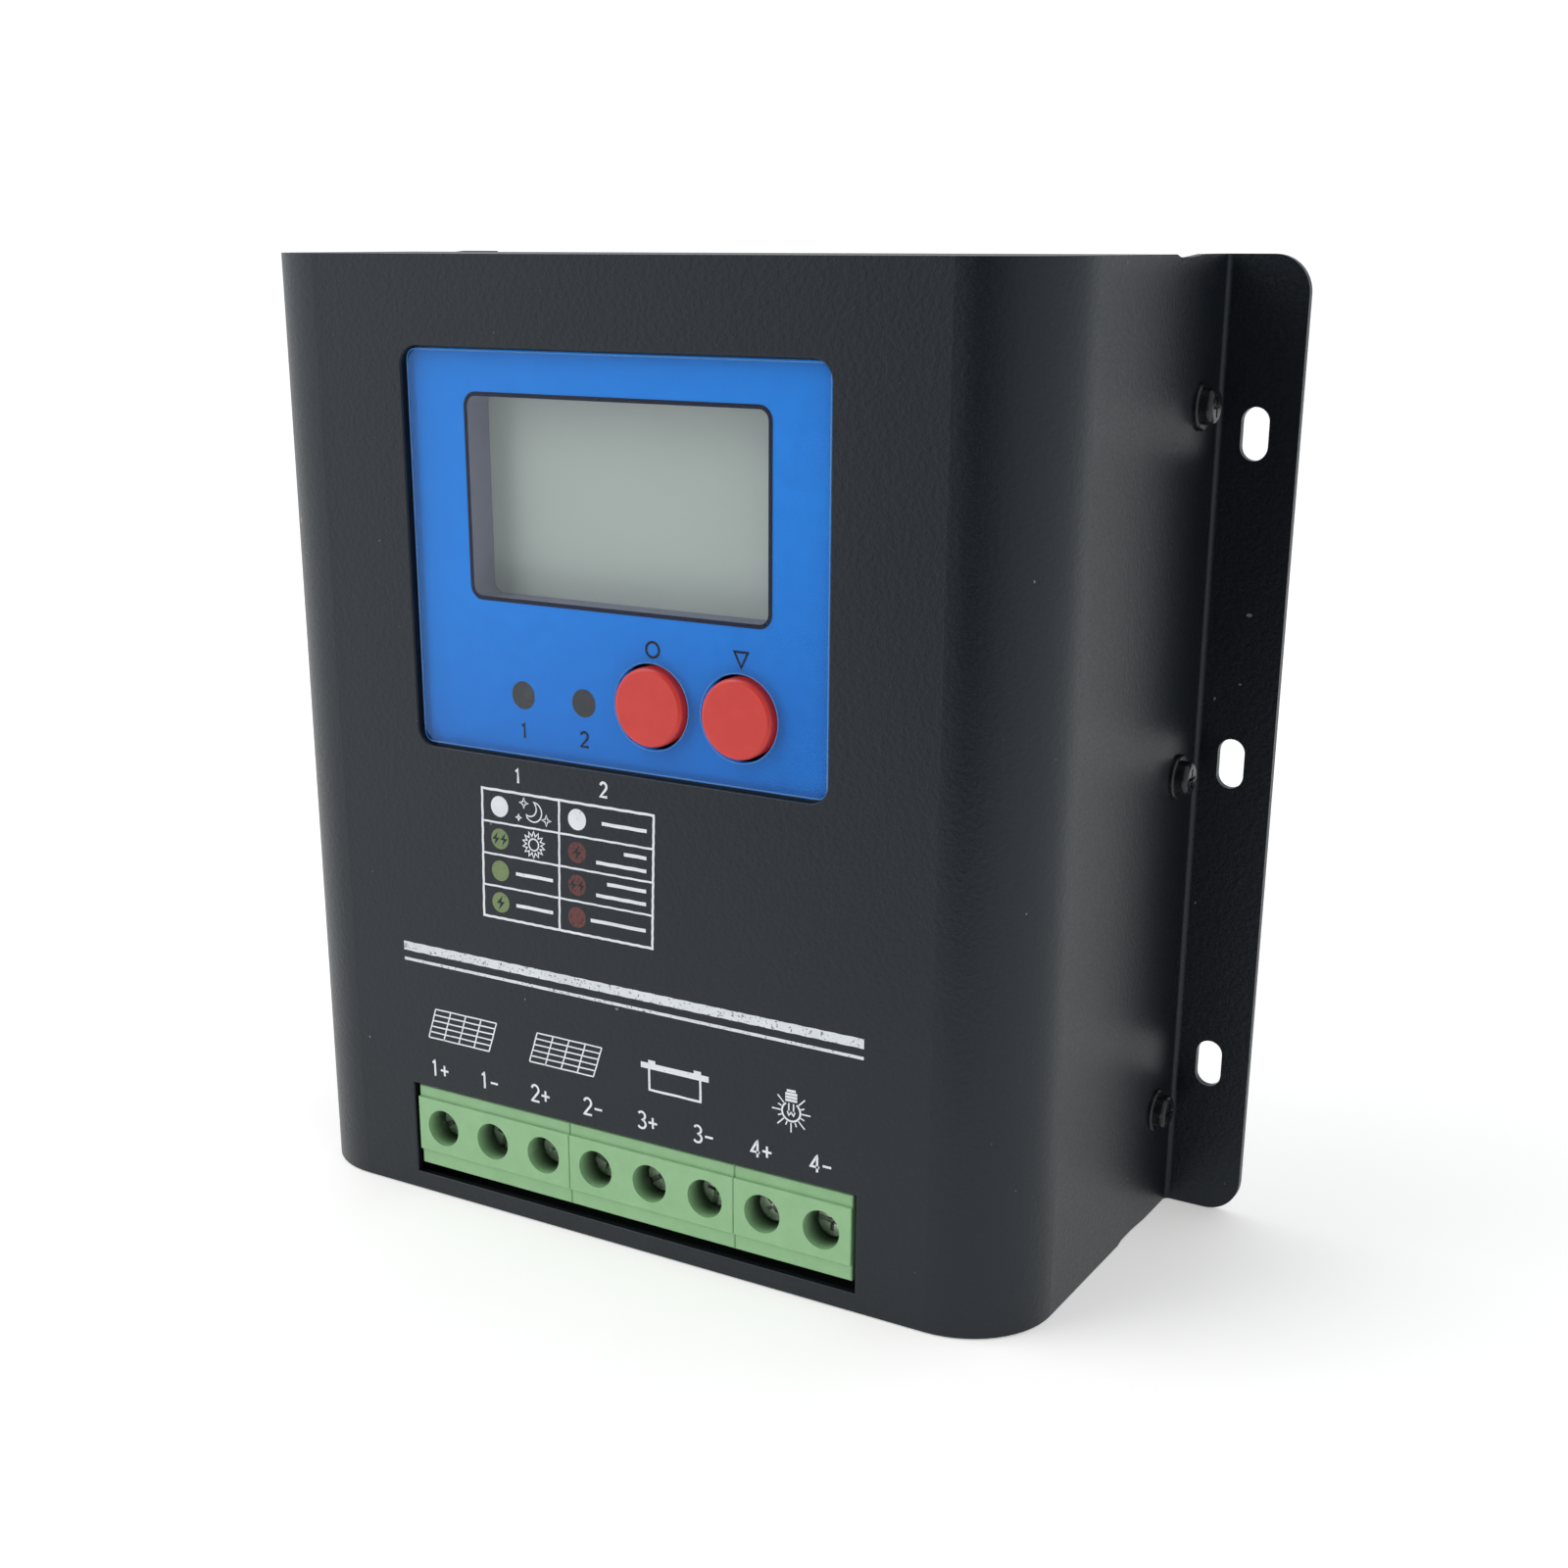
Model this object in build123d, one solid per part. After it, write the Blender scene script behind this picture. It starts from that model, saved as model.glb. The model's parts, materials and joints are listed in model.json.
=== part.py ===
"""Wall-mounted solar charge controller, about 157 x 62 x 148 mm.

Frame: +Z is up, the front faces -Y, and +X is to the right seen from the front.
The origin is under the middle of the whole object, on the plane of its bottom edges.
All sizes are in millimetres. Depths are measured back from the flat front face.
"""

import os

from build123d import *

# --- Driving dimensions -------------------------------------------------------------
CASE_WIDTH = 132.7  # across the side walls
CASE_DEPTH = 62.0  # front face to wall plane
CASE_HEIGHT = 148.5
SHEET = 1.2  # steel sheet of the cover
FRONT_BEND_RADIUS = 13.7  # outside, at the two vertical front edges
FLANGE_BEND_RADIUS = 0.9  # inside, where a side wall turns out into its flange
FLANGE_WIDTH = 12.25  # how far a flange stands out from its side wall
FLANGE_CORNER_RADIUS = 5.5
LIP_RADIUS = 0.25  # rounded by the coat: front edges of the two openings
CAP_PROUD = 0.1  # push-button caps stand this far in front of the cover

SLOT_LENGTH = 7.7  # wall-mounting slots in the flanges
SLOT_WIDTH = 4.2
SLOT_PITCH = 49.25
SLOT_X = 72.1

SIDE_SCREW_DEPTH = 53.45
SIDE_SCREW_PITCH = 54.65
SIDE_SCREW_MID_Z = 73.05

# Display panel opening and the panel in it
PANEL_X = -0.5
PANEL_Z = 106.1
PANEL_OPENING = (72.2, 59.5)
PANEL_OPENING_RADIUS = 3.0
PANEL_GAP = 0.3
PANEL_RECESS = 0.9
PANEL_THICKNESS = 1.0
PRINT_THICKNESS = 0.1
WINDOW_X = -0.3  # clear window over the display
WINDOW_Z = 114.55
WINDOW_SIZE = (51.6, 29.5)
WINDOW_RADIUS = 1.8
LAMP_WINDOW_RADIUS = 2.13
LAMP_Z = 85.8
LAMP_X = {"charge": -17.35, "fault": -6.3}
BUTTON_Z = 86.75
BUTTON_X = {"set": 6.0, "down": 20.8}
CAP_RADIUS = 5.8
BUTTON_HOLE_RADIUS = 6.3

# Terminal row
TERMINAL_PITCH = 10.16
TERMINAL_GROUPS = {"left": 3, "middle": 3, "right": 2}
TERMINAL_ROW_X = -40.95  # left end of the row
TERMINAL_OPENING_X = (-41.5, 41.1)
TERMINAL_OPENING_Z = (2.95, 18.85)
HOUSING_Z = (4.5, 18.45)
BAND_Z = (7.15, 16.45)  # raised band that holds the driver holes
HOUSING_FRONT = 0.15
STEP_BACK = 0.5  # how far the strips above and below the band lie back
DRIVER_HOLE_Z = 11.8
DRIVER_HOLE_RADIUS = 3.1
CAGE_TRAVEL = 4.0

# Depths of the layers behind the front face
GLASS_DEPTH = 7.3
GLASS_THICKNESS = 2.2
DISPLAY_BOARD_DEPTH = 11.2
MAIN_BOARD_DEPTH = 22.0
BOARD_THICKNESS = 1.6
SINK_DEPTH = 40.5
SINK_BASE = 4.5
FIN_TIP_DEPTH = 61.5
END_PLATE = 1.2

M3_THREAD_RADIUS = 1.45
M3_HOLE_RADIUS = 1.5
M3_CLEARANCE_RADIUS = 1.7
RUNNING_CLEARANCE = 0.05

FRONT_Y = CAP_PROUD - (CASE_DEPTH + CAP_PROUD) / 2
HALF_WIDTH = CASE_WIDTH / 2
TERMINAL_COUNT = sum(TERMINAL_GROUPS.values())
PARTS_FOLDER = "parts"


# --- Helpers ------------------------------------------------------------------------
def at_depth(depth):
    """Y of a plane this far behind the front face."""
    return FRONT_Y + depth


def block(x, depth, z):
    """Box between two X values, two depths and two Z values."""
    size = (x[1] - x[0], depth[1] - depth[0], z[1] - z[0])
    centre = ((x[0] + x[1]) / 2, at_depth((depth[0] + depth[1]) / 2), (z[0] + z[1]) / 2)
    return Pos(*centre) * Box(*size)


def centred_block(x, depth, z, width, height):
    """Box of a given width and height about a point of the front, between two depths."""
    return block((x - width / 2, x + width / 2), depth, (z - height / 2, z + height / 2))


def front_plane(depth):
    """Drawing plane parallel to the front: its axes are X and Z, and it faces forward."""
    return Plane(origin=(0, at_depth(depth), 0), x_dir=(1, 0, 0), z_dir=(0, -1, 0))


def layer(sketch, depth):
    """Extrudes a sketch drawn in X and Z between two depths."""
    return extrude(front_plane(depth[1]) * sketch, amount=depth[1] - depth[0])


def rod(x, z, depth, radius):
    """Round bar along Y between two depths."""
    return layer(Pos(x, z) * Circle(radius), depth)


def hexagon_rod(x, z, depth, across_flats):
    """Six-sided bar along Y between two depths."""
    return layer(Pos(x, z) * RegularPolygon(across_flats / 2, 6, major_radius=False), depth)


def rounded_layer(x, z, size, radius, depth):
    """Plate with rounded corners, parallel to the front."""
    return layer(Pos(x, z) * RectangleRounded(size[0], size[1], radius), depth)


def cross_recess(radius, depth):
    """Cross-shaped driver recess cut down from the XY plane, tapering to its bottom."""
    top = Plane.XY * (Rectangle(2 * radius, 0.36 * radius) + Rectangle(0.36 * radius, 2 * radius))
    bottom = Plane.XY.offset(-depth) * (
        Rectangle(radius, 0.3 * radius) + Rectangle(0.3 * radius, radius)
    )
    return loft([top.face(), bottom.face()])


def pan_screw(head_radius, head_height, shank_radius, shank_length, washer_radius=0.0):
    """Pan-head cross-recess screw standing on the XY plane with its shank down."""
    washer_height = 0.7 if washer_radius else 0.0
    top = washer_height + head_height
    head = Pos(0, 0, (washer_height + top) / 2) * Cylinder(head_radius, head_height)
    head = fillet(head.edges().group_by(Axis.Z)[-1], 0.45 * head_height)
    if washer_radius:
        washer = Pos(0, 0, washer_height / 2) * Cylinder(washer_radius, washer_height)
        head += chamfer(washer.edges().group_by(Axis.Z)[-1], 0.25)
    head -= Pos(0, 0, top) * cross_recess(0.58 * head_radius, 0.6 * head_height)
    shank = Pos(0, 0, -shank_length / 2) * Cylinder(shank_radius, shank_length)
    return head + chamfer(shank.edges().group_by(Axis.Z)[0], 0.3 * shank_radius)


def screw_at(x, z, seat_depth, shank_length, head_radius=2.8, shank_radius=M3_THREAD_RADIUS):
    """Pan-head screw driven from the front, seated at a depth."""
    screw = pan_screw(head_radius, 0.7 * head_radius, shank_radius, shank_length)
    return front_plane(seat_depth).location * Pos(x, z, 0) * screw


def terminal_x(index):
    """Centre of a terminal way, counted from 0 at the left."""
    return TERMINAL_ROW_X + TERMINAL_PITCH * (index + 0.5)


# --- Case ---------------------------------------------------------------------------
def side_screw_heights():
    return [SIDE_SCREW_MID_Z + step * SIDE_SCREW_PITCH for step in (-1, 0, 1)]


def slot_heights():
    return [CASE_HEIGHT / 2 + step * SLOT_PITCH for step in (-1, 0, 1)]


def cover_profile():
    """Plan section of the bent sheet: front, two sides and two out-turned flanges."""
    front, back = at_depth(0), at_depth(CASE_DEPTH)
    side, tip = HALF_WIDTH, HALF_WIDTH + FLANGE_WIDTH
    right = [
        (side, front),
        (side, back - SHEET),
        (tip, back - SHEET),
        (tip, back),
        (side - SHEET, back),
        (side - SHEET, front + SHEET),
    ]
    left = [(-x, y) for x, y in reversed(right)]
    profile = make_face(Polyline(*right, *left, close=True))
    bends = {
        (side, front): FRONT_BEND_RADIUS,
        (side - SHEET, front + SHEET): FRONT_BEND_RADIUS - SHEET,
        (side, back - SHEET): FLANGE_BEND_RADIUS,
        (side - SHEET, back): FLANGE_BEND_RADIUS + SHEET,
    }
    for (x, y), radius in bends.items():
        corners = [
            v for v in profile.vertices() if abs(abs(v.X) - x) < 0.01 and abs(v.Y - y) < 0.01
        ]
        profile = fillet(corners, radius)
    return profile


def bend_relief():
    """Shallow dips in the side walls' top and bottom edges, just before the flange bends."""
    start, low_start, low_end, end = 40.2, 41.8, 46.0, 51.5
    dip = 0.4
    points = [(start, 1), (start, 0), (low_start, -dip), (low_end, -dip), (end, 0), (end, 1)]
    outline = make_face(Polyline(*[(at_depth(d), z) for d, z in points], close=True))
    top = extrude(Plane.YZ * outline, amount=CASE_WIDTH, both=True)
    return Pos(0, 0, CASE_HEIGHT) * top + mirror(top, about=Plane.XY)


def make_cover():
    cover = extrude(cover_profile(), amount=CASE_HEIGHT)
    outline = RectangleRounded(CASE_WIDTH + 2 * FLANGE_WIDTH, CASE_HEIGHT, FLANGE_CORNER_RADIUS)
    cover &= layer(Pos(0, CASE_HEIGHT / 2) * outline, (-1, CASE_DEPTH + 1))
    cover -= bend_relief()
    through_front = (-1, SHEET + 1)
    cover -= rounded_layer(PANEL_X, PANEL_Z, PANEL_OPENING, PANEL_OPENING_RADIUS, through_front)
    cover -= block(TERMINAL_OPENING_X, through_front, TERMINAL_OPENING_Z)
    lips = cover.edges().filter_by_position(Axis.Y, FRONT_Y - 0.01, FRONT_Y + 0.01)
    inner = [e for e in lips if abs(e.center().X) < 45 and 1 < e.center().Z < CASE_HEIGHT - 1]
    cover = fillet(inner, LIP_RADIUS)
    slot = Rot(0, 0, 90) * SlotOverall(SLOT_LENGTH, SLOT_WIDTH)
    for side in (-1, 1):
        for z in slot_heights():
            cover -= layer(Pos(side * SLOT_X, z) * slot, (CASE_DEPTH - 5, CASE_DEPTH + 1))
        for z in side_screw_heights():
            hole = Rot(0, 90, 0) * Cylinder(M3_CLEARANCE_RADIUS, 6)
            cover -= Pos(side * HALF_WIDTH, at_depth(SIDE_SCREW_DEPTH), z) * hole
    return cover


def make_cover_screws():
    """Six black screws with a washer collar, three in each side wall."""
    screws = []
    for side in (-1, 1):
        for z in side_screw_heights():
            screw = pan_screw(2.6, 1.7, M3_THREAD_RADIUS, 7.5, washer_radius=3.5)
            place = Pos(side * HALF_WIDTH, at_depth(SIDE_SCREW_DEPTH), z)
            screws.append(place * Rot(0, side * 90, 0) * screw)
    return screws


SINK_HALF_WIDTH = HALF_WIDTH - SHEET - 0.15
SINK_Z = (1.0, CASE_HEIGHT - 1.0)
SINK_WALL = 5.5
FIN_PITCH = 8.5
FIN_THICKNESS = 1.8
FIN_COUNT = 13
END_SCREW_X = (-45.0, 0.0, 45.0)
END_SCREW_INSET = 7.5  # from the end plate's outer face
CABLE_SLOT_DEPTH = (13.0, 21.5)  # in the bottom end plate, under the terminals
STANDOFF_X = (-56.0, 56.0)
STANDOFF_Z = (20.0, 73.5, 127.0)
CLAMP_SCREW_X = (-53.5, 0.0, 53.5)
CLAMP_Z = 53.0


def end_screw_places():
    return [(x, z) for x in END_SCREW_X for z in (END_SCREW_INSET, CASE_HEIGHT - END_SCREW_INSET)]


def standoff_places():
    return [(x, z) for x in STANDOFF_X for z in STANDOFF_Z]


def make_heat_sink():
    """Aluminium extrusion: a flat base, thick side walls and upright fins behind it."""
    width = (-SINK_HALF_WIDTH, SINK_HALF_WIDTH)
    sink = block(width, (SINK_DEPTH, SINK_DEPTH + SINK_BASE), SINK_Z)
    for side in (-1, 1):
        wall = sorted((side * SINK_HALF_WIDTH, side * (SINK_HALF_WIDTH - SINK_WALL)))
        sink += block(wall, (SINK_DEPTH, FIN_TIP_DEPTH), SINK_Z)
    for index in range(FIN_COUNT):
        x = (index - (FIN_COUNT - 1) / 2) * FIN_PITCH
        fin = (x - FIN_THICKNESS / 2, x + FIN_THICKNESS / 2)
        sink += block(fin, (SINK_DEPTH + SINK_BASE, FIN_TIP_DEPTH), SINK_Z)
    tapped = [(x, CLAMP_Z) for x in CLAMP_SCREW_X] + end_screw_places() + standoff_places()
    for x, z in tapped:
        sink -= rod(x, z, (SINK_DEPTH - 1, SINK_DEPTH + SINK_BASE + 1), M3_HOLE_RADIUS)
    for side in (-1, 1):
        for z in side_screw_heights():
            hole = Rot(0, 90, 0) * Cylinder(M3_HOLE_RADIUS, 2 * SINK_WALL + 4)
            sink -= Pos(side * SINK_HALF_WIDTH, at_depth(SIDE_SCREW_DEPTH), z) * hole
    return sink


def end_plate_outline():
    """Plan outline that follows the inside of the cover with a small gap."""
    gap = 0.15
    front, back = at_depth(SHEET + gap), at_depth(SINK_DEPTH)
    half = HALF_WIDTH - SHEET - gap
    outline = make_face(
        Polyline((-half, front), (half, front), (half, back), (-half, back), close=True)
    )
    corners = outline.vertices().group_by(Axis.Y)[0]
    return fillet(corners, FRONT_BEND_RADIUS - SHEET - gap)


def make_end_plate(z, lip_z):
    """Flat end plate with a lip that is screwed to the front of the heat sink."""
    plate = extrude(Plane.XY.offset(z[0]) * end_plate_outline(), amount=z[1] - z[0])
    half = HALF_WIDTH - SHEET - 0.15
    plate += block((-half, half), (SINK_DEPTH - END_PLATE, SINK_DEPTH), lip_z)
    middle = sum(lip_z) / 2
    for x, screw_z in end_screw_places():
        if abs(screw_z - middle) < END_SCREW_INSET:
            hole_depth = (SINK_DEPTH - END_PLATE - 1, SINK_DEPTH + 1)
            plate -= rod(x, screw_z, hole_depth, M3_CLEARANCE_RADIUS)
    return plate


def make_top_end_plate():
    top = CASE_HEIGHT
    plate = make_end_plate((top - END_PLATE, top), (top - 14.0, top))
    outer_bend = plate.edges().filter_by(Axis.X).group_by(Axis.Z)[-1].sort_by(Axis.Y)[-1]
    return fillet(outer_bend, END_PLATE * 0.8)


def make_bottom_end_plate():
    """Like the top plate, with a long cable slot under the terminals."""
    bottom = 0.3
    plate = make_end_plate((bottom, bottom + END_PLATE), (bottom, bottom + 14.0))
    slot = (TERMINAL_OPENING_X[0] - 1, TERMINAL_OPENING_X[1] + 1)
    plate -= block(slot, CABLE_SLOT_DEPTH, (-1, 5))
    outer_bend = plate.edges().filter_by(Axis.X).group_by(Axis.Z)[0].sort_by(Axis.Y)[-1]
    return fillet(outer_bend, END_PLATE * 0.8)


def make_end_plate_screws():
    seat = SINK_DEPTH - END_PLATE
    return [screw_at(x, z, seat, END_PLATE + SINK_BASE - 0.3) for x, z in end_screw_places()]


# --- Display assembly ---------------------------------------------------------------
PANEL_BACK = PANEL_RECESS + PANEL_THICKNESS
PRINT_BACK = PANEL_BACK + PRINT_THICKNESS
HOLDER_SIZE = (80.0, 67.5)
HOLDER_FLOOR = 1.6
GLASS_SIZE = (58.0, 36.0)
POST_OFFSET = (35.0, 28.0)
POST_RADIUS = 3.0
DISPLAY_SCREW_RADIUS = 1.1
SWITCH_HEIGHT = 3.4
SWITCH_SIZE = 12.0
STEM_WIDTH = 3.8


def panel_size():
    return tuple(side - 2 * PANEL_GAP for side in PANEL_OPENING)


def button_holes(depth, radius=BUTTON_HOLE_RADIUS):
    return [rod(x, BUTTON_Z, depth, radius) for x in BUTTON_X.values()]


def make_front_panel():
    """Clear acrylic sheet with polished, slightly chamfered front edges."""
    radius = PANEL_OPENING_RADIUS - PANEL_GAP
    depth = (PANEL_RECESS, PANEL_BACK)
    panel = rounded_layer(PANEL_X, PANEL_Z, panel_size(), radius, depth)
    panel = chamfer(panel.faces().sort_by(Axis.Y)[0].edges(), 0.2)
    for hole in button_holes((0, PANEL_BACK + 1)):
        panel -= hole
    return panel


def make_panel_print():
    """Blue printed film on the back of the acrylic, with clear windows left open."""
    radius = PANEL_OPENING_RADIUS - PANEL_GAP
    depth = (PANEL_BACK, PRINT_BACK)
    film = rounded_layer(PANEL_X, PANEL_Z, panel_size(), radius, depth)
    cut = (PANEL_BACK - 1, PRINT_BACK + 1)
    film -= rounded_layer(WINDOW_X, WINDOW_Z, WINDOW_SIZE, WINDOW_RADIUS, cut)
    for hole in button_holes(cut):
        film -= hole
    for x in LAMP_X.values():
        film -= rod(x, LAMP_Z, cut, LAMP_WINDOW_RADIUS)
    return film


def post_places():
    return [
        (PANEL_X + sx * POST_OFFSET[0], PANEL_Z + sz * POST_OFFSET[1])
        for sx in (-1, 1)
        for sz in (-1, 1)
    ]


def make_display_holder():
    """Moulded carrier bonded behind the cover: it holds the panel and the display board."""
    floor_back = PRINT_BACK + HOLDER_FLOOR
    holder = rounded_layer(PANEL_X, PANEL_Z, HOLDER_SIZE, 4.0, (SHEET, floor_back))
    pocket = tuple(side + 0.2 for side in panel_size())
    holder -= rounded_layer(PANEL_X, PANEL_Z, pocket, PANEL_OPENING_RADIUS, (0, PRINT_BACK))
    opening = (GLASS_SIZE[0] + 0.4, GLASS_SIZE[1] + 0.4)
    holder -= rounded_layer(WINDOW_X, WINDOW_Z, opening, 0.5, (0, floor_back + 1))
    for hole in button_holes((0, floor_back + 1), BUTTON_HOLE_RADIUS + 0.2):
        holder -= hole
    for x in LAMP_X.values():
        holder -= rod(x, LAMP_Z, (0, floor_back + 1), 3.2)
    for x, z in post_places():
        holder += rod(x, z, (floor_back, DISPLAY_BOARD_DEPTH), POST_RADIUS)
    for x, z in post_places():
        pilot = (DISPLAY_BOARD_DEPTH - 5.5, DISPLAY_BOARD_DEPTH + 1)
        holder -= rod(x, z, pilot, DISPLAY_SCREW_RADIUS)
    return holder


def make_lcd_gasket():
    """Grey foam frame that fills the space between the printed window and the glass."""
    depth = (PRINT_BACK, GLASS_DEPTH)
    gasket = rounded_layer(WINDOW_X, WINDOW_Z, GLASS_SIZE, 0.5, depth)
    return gasket - rounded_layer(WINDOW_X, WINDOW_Z, WINDOW_SIZE, WINDOW_RADIUS, (0, 20))


def make_lcd_glass():
    glass_back = GLASS_DEPTH + GLASS_THICKNESS
    glass = centred_block(WINDOW_X, (GLASS_DEPTH, glass_back), WINDOW_Z, *GLASS_SIZE)
    return chamfer(glass.edges().filter_by(Axis.Y), 0.3)


def make_lcd_backlight():
    """Light guide in a moulded frame, between the glass and the display board."""
    depth = (GLASS_DEPTH + GLASS_THICKNESS, DISPLAY_BOARD_DEPTH)
    frame = centred_block(WINDOW_X, depth, WINDOW_Z, GLASS_SIZE[0], GLASS_SIZE[1])
    side_lamp = (WINDOW_X + GLASS_SIZE[0] / 2, WINDOW_X + GLASS_SIZE[0] / 2 + 4.0)
    return frame + block(side_lamp, (depth[0] + 0.8, depth[1]), (WINDOW_Z - 8, WINDOW_Z + 8))


DISPLAY_BOARD_BACK = DISPLAY_BOARD_DEPTH + BOARD_THICKNESS
SWITCH_PIN_X = 6.0
SWITCH_PIN_Z = 2.5
HEADER_PINS = 7
HEADER_SIZE = (18.0, 2.5)
HEADER_Z = 134.0
HEADER_BACK = DISPLAY_BOARD_BACK + 2.5


def switch_pin_places():
    return [
        (x + sx * SWITCH_PIN_X, BUTTON_Z + sz * SWITCH_PIN_Z)
        for x in BUTTON_X.values()
        for sx in (-1, 1)
        for sz in (-1, 1)
    ]


def lamp_lead_places():
    return [(x + offset, LAMP_Z) for x in LAMP_X.values() for offset in (-1.27, 1.27)]


def make_display_board():
    depth = (DISPLAY_BOARD_DEPTH, DISPLAY_BOARD_BACK)
    board = rounded_layer(PANEL_X, PANEL_Z, (77.0, 63.0), 2.0, depth)
    through = (depth[0] - 1, depth[1] + 1)
    for x, z in post_places():
        board -= rod(x, z, through, 1.4)
    for x, z in switch_pin_places():
        board -= rod(x, z, through, 0.65)
    for x, z in lamp_lead_places():
        board -= rod(x, z, through, 0.45)
    return board


def make_display_screws():
    """Four small self-tapping screws that hold the display board on the posts."""
    screws = []
    for x, z in post_places():
        screw = pan_screw(2.2, 1.6, 1.05, BOARD_THICKNESS + 4.8)
        place = Pos(x, at_depth(DISPLAY_BOARD_BACK), z)
        screws.append(place * Rot(-90, 0, 0) * screw)
    return screws


def make_lamp(x):
    """3 mm lamp: domed body, flange and two leads through the display board."""
    dome_depth, flange_depth, lead_depth = 4.2, 7.0, 8.0
    lamp = rod(x, LAMP_Z, (dome_depth, flange_depth), 1.5)
    lamp += Pos(x, at_depth(dome_depth), LAMP_Z) * Sphere(1.5)
    lamp += rod(x, LAMP_Z, (flange_depth, lead_depth), 1.9)
    for offset in (-1.27, 1.27):
        lead = centred_block(x + offset, (lead_depth, DISPLAY_BOARD_BACK + 1.5), LAMP_Z, 0.5, 0.5)
        lamp += lead
    return lamp


SWITCH_DEPTH = DISPLAY_BOARD_DEPTH - SWITCH_HEIGHT
SWITCH_LID = 0.8
PLUNGER_RADIUS = 3.3
PLUNGER_FLANGE_RADIUS = 4.2
PLUNGER_BACK = SWITCH_DEPTH + 1.4
CAP_SKIRT_DEPTH = 4.4
SOCKET_DEPTH = 1.6


def make_switch_body(x):
    """12 mm tactile switch: square base with a stepped well and four pins."""
    body = centred_block(x, (SWITCH_DEPTH, DISPLAY_BOARD_DEPTH), BUTTON_Z, SWITCH_SIZE, SWITCH_SIZE)
    body = chamfer(body.edges().filter_by(Axis.Y), 0.6)
    mouth = PLUNGER_RADIUS + RUNNING_CLEARANCE
    body -= rod(x, BUTTON_Z, (SWITCH_DEPTH - 1, SWITCH_DEPTH + SWITCH_LID), mouth)
    well = (SWITCH_DEPTH + SWITCH_LID, DISPLAY_BOARD_DEPTH - 0.6)
    body -= rod(x, BUTTON_Z, well, PLUNGER_FLANGE_RADIUS + 0.3)
    for sx in (-1, 1):
        for sz in (-1, 1):
            leg = (SWITCH_DEPTH + 1.2, DISPLAY_BOARD_BACK + 1.2)
            pin_z = BUTTON_Z + sz * SWITCH_PIN_Z
            body += centred_block(x + sx * SWITCH_PIN_X, leg, pin_z, 0.8, 0.8)
    return body


def make_switch_domes():
    """Snap discs under the plungers: they push the buttons back out."""
    height, radius = 1.0, 3.6
    floor = DISPLAY_BOARD_DEPTH - 0.6
    ball_radius = (radius**2 + height**2) / (2 * height)
    domes = []
    for x in BUTTON_X.values():
        centre = floor - height + ball_radius
        shell = Sphere(ball_radius) - Sphere(ball_radius - 0.15)
        dome = Pos(x, at_depth(centre), BUTTON_Z) * shell
        domes.append(dome & rod(x, BUTTON_Z, (floor - height - 1, floor), radius + 1))
    return domes


def make_plunger(x):
    """Moving stem of a switch: flanged round foot and a square neck that takes the cap."""
    foot = (SWITCH_DEPTH - 2.4, PLUNGER_BACK)
    plunger = rod(x, BUTTON_Z, foot, PLUNGER_RADIUS)
    flange = (SWITCH_DEPTH + SWITCH_LID + 0.1, PLUNGER_BACK)
    plunger += rod(x, BUTTON_Z, flange, PLUNGER_FLANGE_RADIUS)
    neck = (SOCKET_DEPTH, foot[0])
    return plunger + centred_block(x, neck, BUTTON_Z, STEM_WIDTH, STEM_WIDTH)


def make_cap(x):
    """Round button cap: rounded front rim, hollow skirt and a boss with a square socket."""
    cap = rod(x, BUTTON_Z, (-CAP_PROUD, CAP_SKIRT_DEPTH), CAP_RADIUS)
    cap = fillet(cap.edges().group_by(Axis.Y)[0], 0.6)
    cap -= rod(x, BUTTON_Z, (1.0, CAP_SKIRT_DEPTH + 1), CAP_RADIUS - 1.2)
    cap += rod(x, BUTTON_Z, (1.0, CAP_SKIRT_DEPTH), 3.2)
    socket = (SOCKET_DEPTH, CAP_SKIRT_DEPTH + 1)
    return cap - centred_block(x, socket, BUTTON_Z, STEM_WIDTH, STEM_WIDTH)


def header_pin_xs():
    return [(index - (HEADER_PINS - 1) / 2) * 2.54 for index in range(HEADER_PINS)]


def make_link_header():
    """Pin strip on the back of the display board."""
    header = centred_block(0, (DISPLAY_BOARD_BACK, HEADER_BACK), HEADER_Z, *HEADER_SIZE)
    for x in header_pin_xs():
        header += centred_block(x, (DISPLAY_BOARD_BACK, MAIN_BOARD_DEPTH - 1.2), HEADER_Z, 0.6, 0.6)
    return header


def make_link_socket():
    """Socket strip on the main board that takes the display board's pins."""
    socket = centred_block(0, (HEADER_BACK, MAIN_BOARD_DEPTH), HEADER_Z, *HEADER_SIZE)
    for x in header_pin_xs():
        socket -= centred_block(x, (HEADER_BACK - 1, MAIN_BOARD_DEPTH - 1.0), HEADER_Z, 0.7, 0.7)
    return socket


# --- Power board --------------------------------------------------------------------
MAIN_BOARD_BACK = MAIN_BOARD_DEPTH + BOARD_THICKNESS
TRANSISTOR_X = (-45.0, -33.0, -21.0, -9.0, 9.0, 21.0, 33.0, 45.0)
TRANSISTOR_WIDTH = 10.2
TRANSISTOR_Z = (44.0, 59.5)
TRANSISTOR_THICKNESS = 4.5
PAD_THICKNESS = 0.3
CLAMP_THICKNESS = 2.0
LEAD_Z = 40.5
LEAD_OFFSETS = (-2.54, 0.0, 2.54)
TRANSISTOR_DEPTH = SINK_DEPTH - PAD_THICKNESS - TRANSISTOR_THICKNESS
CAPACITOR_PLACES = ((-50.0, 31.0), (-50.0, 53.5), (-30.5, 53.5))
CAPACITOR_RADIUS = 8.0
CAPACITOR_FRONT = 4.5
FUSE_PLACES = ((38.0, 26.5), (38.0, 35.5))
SHUNT_PLACES = ((-8.0, 30.0), (0.0, 30.0), (8.0, 30.0))
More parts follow.
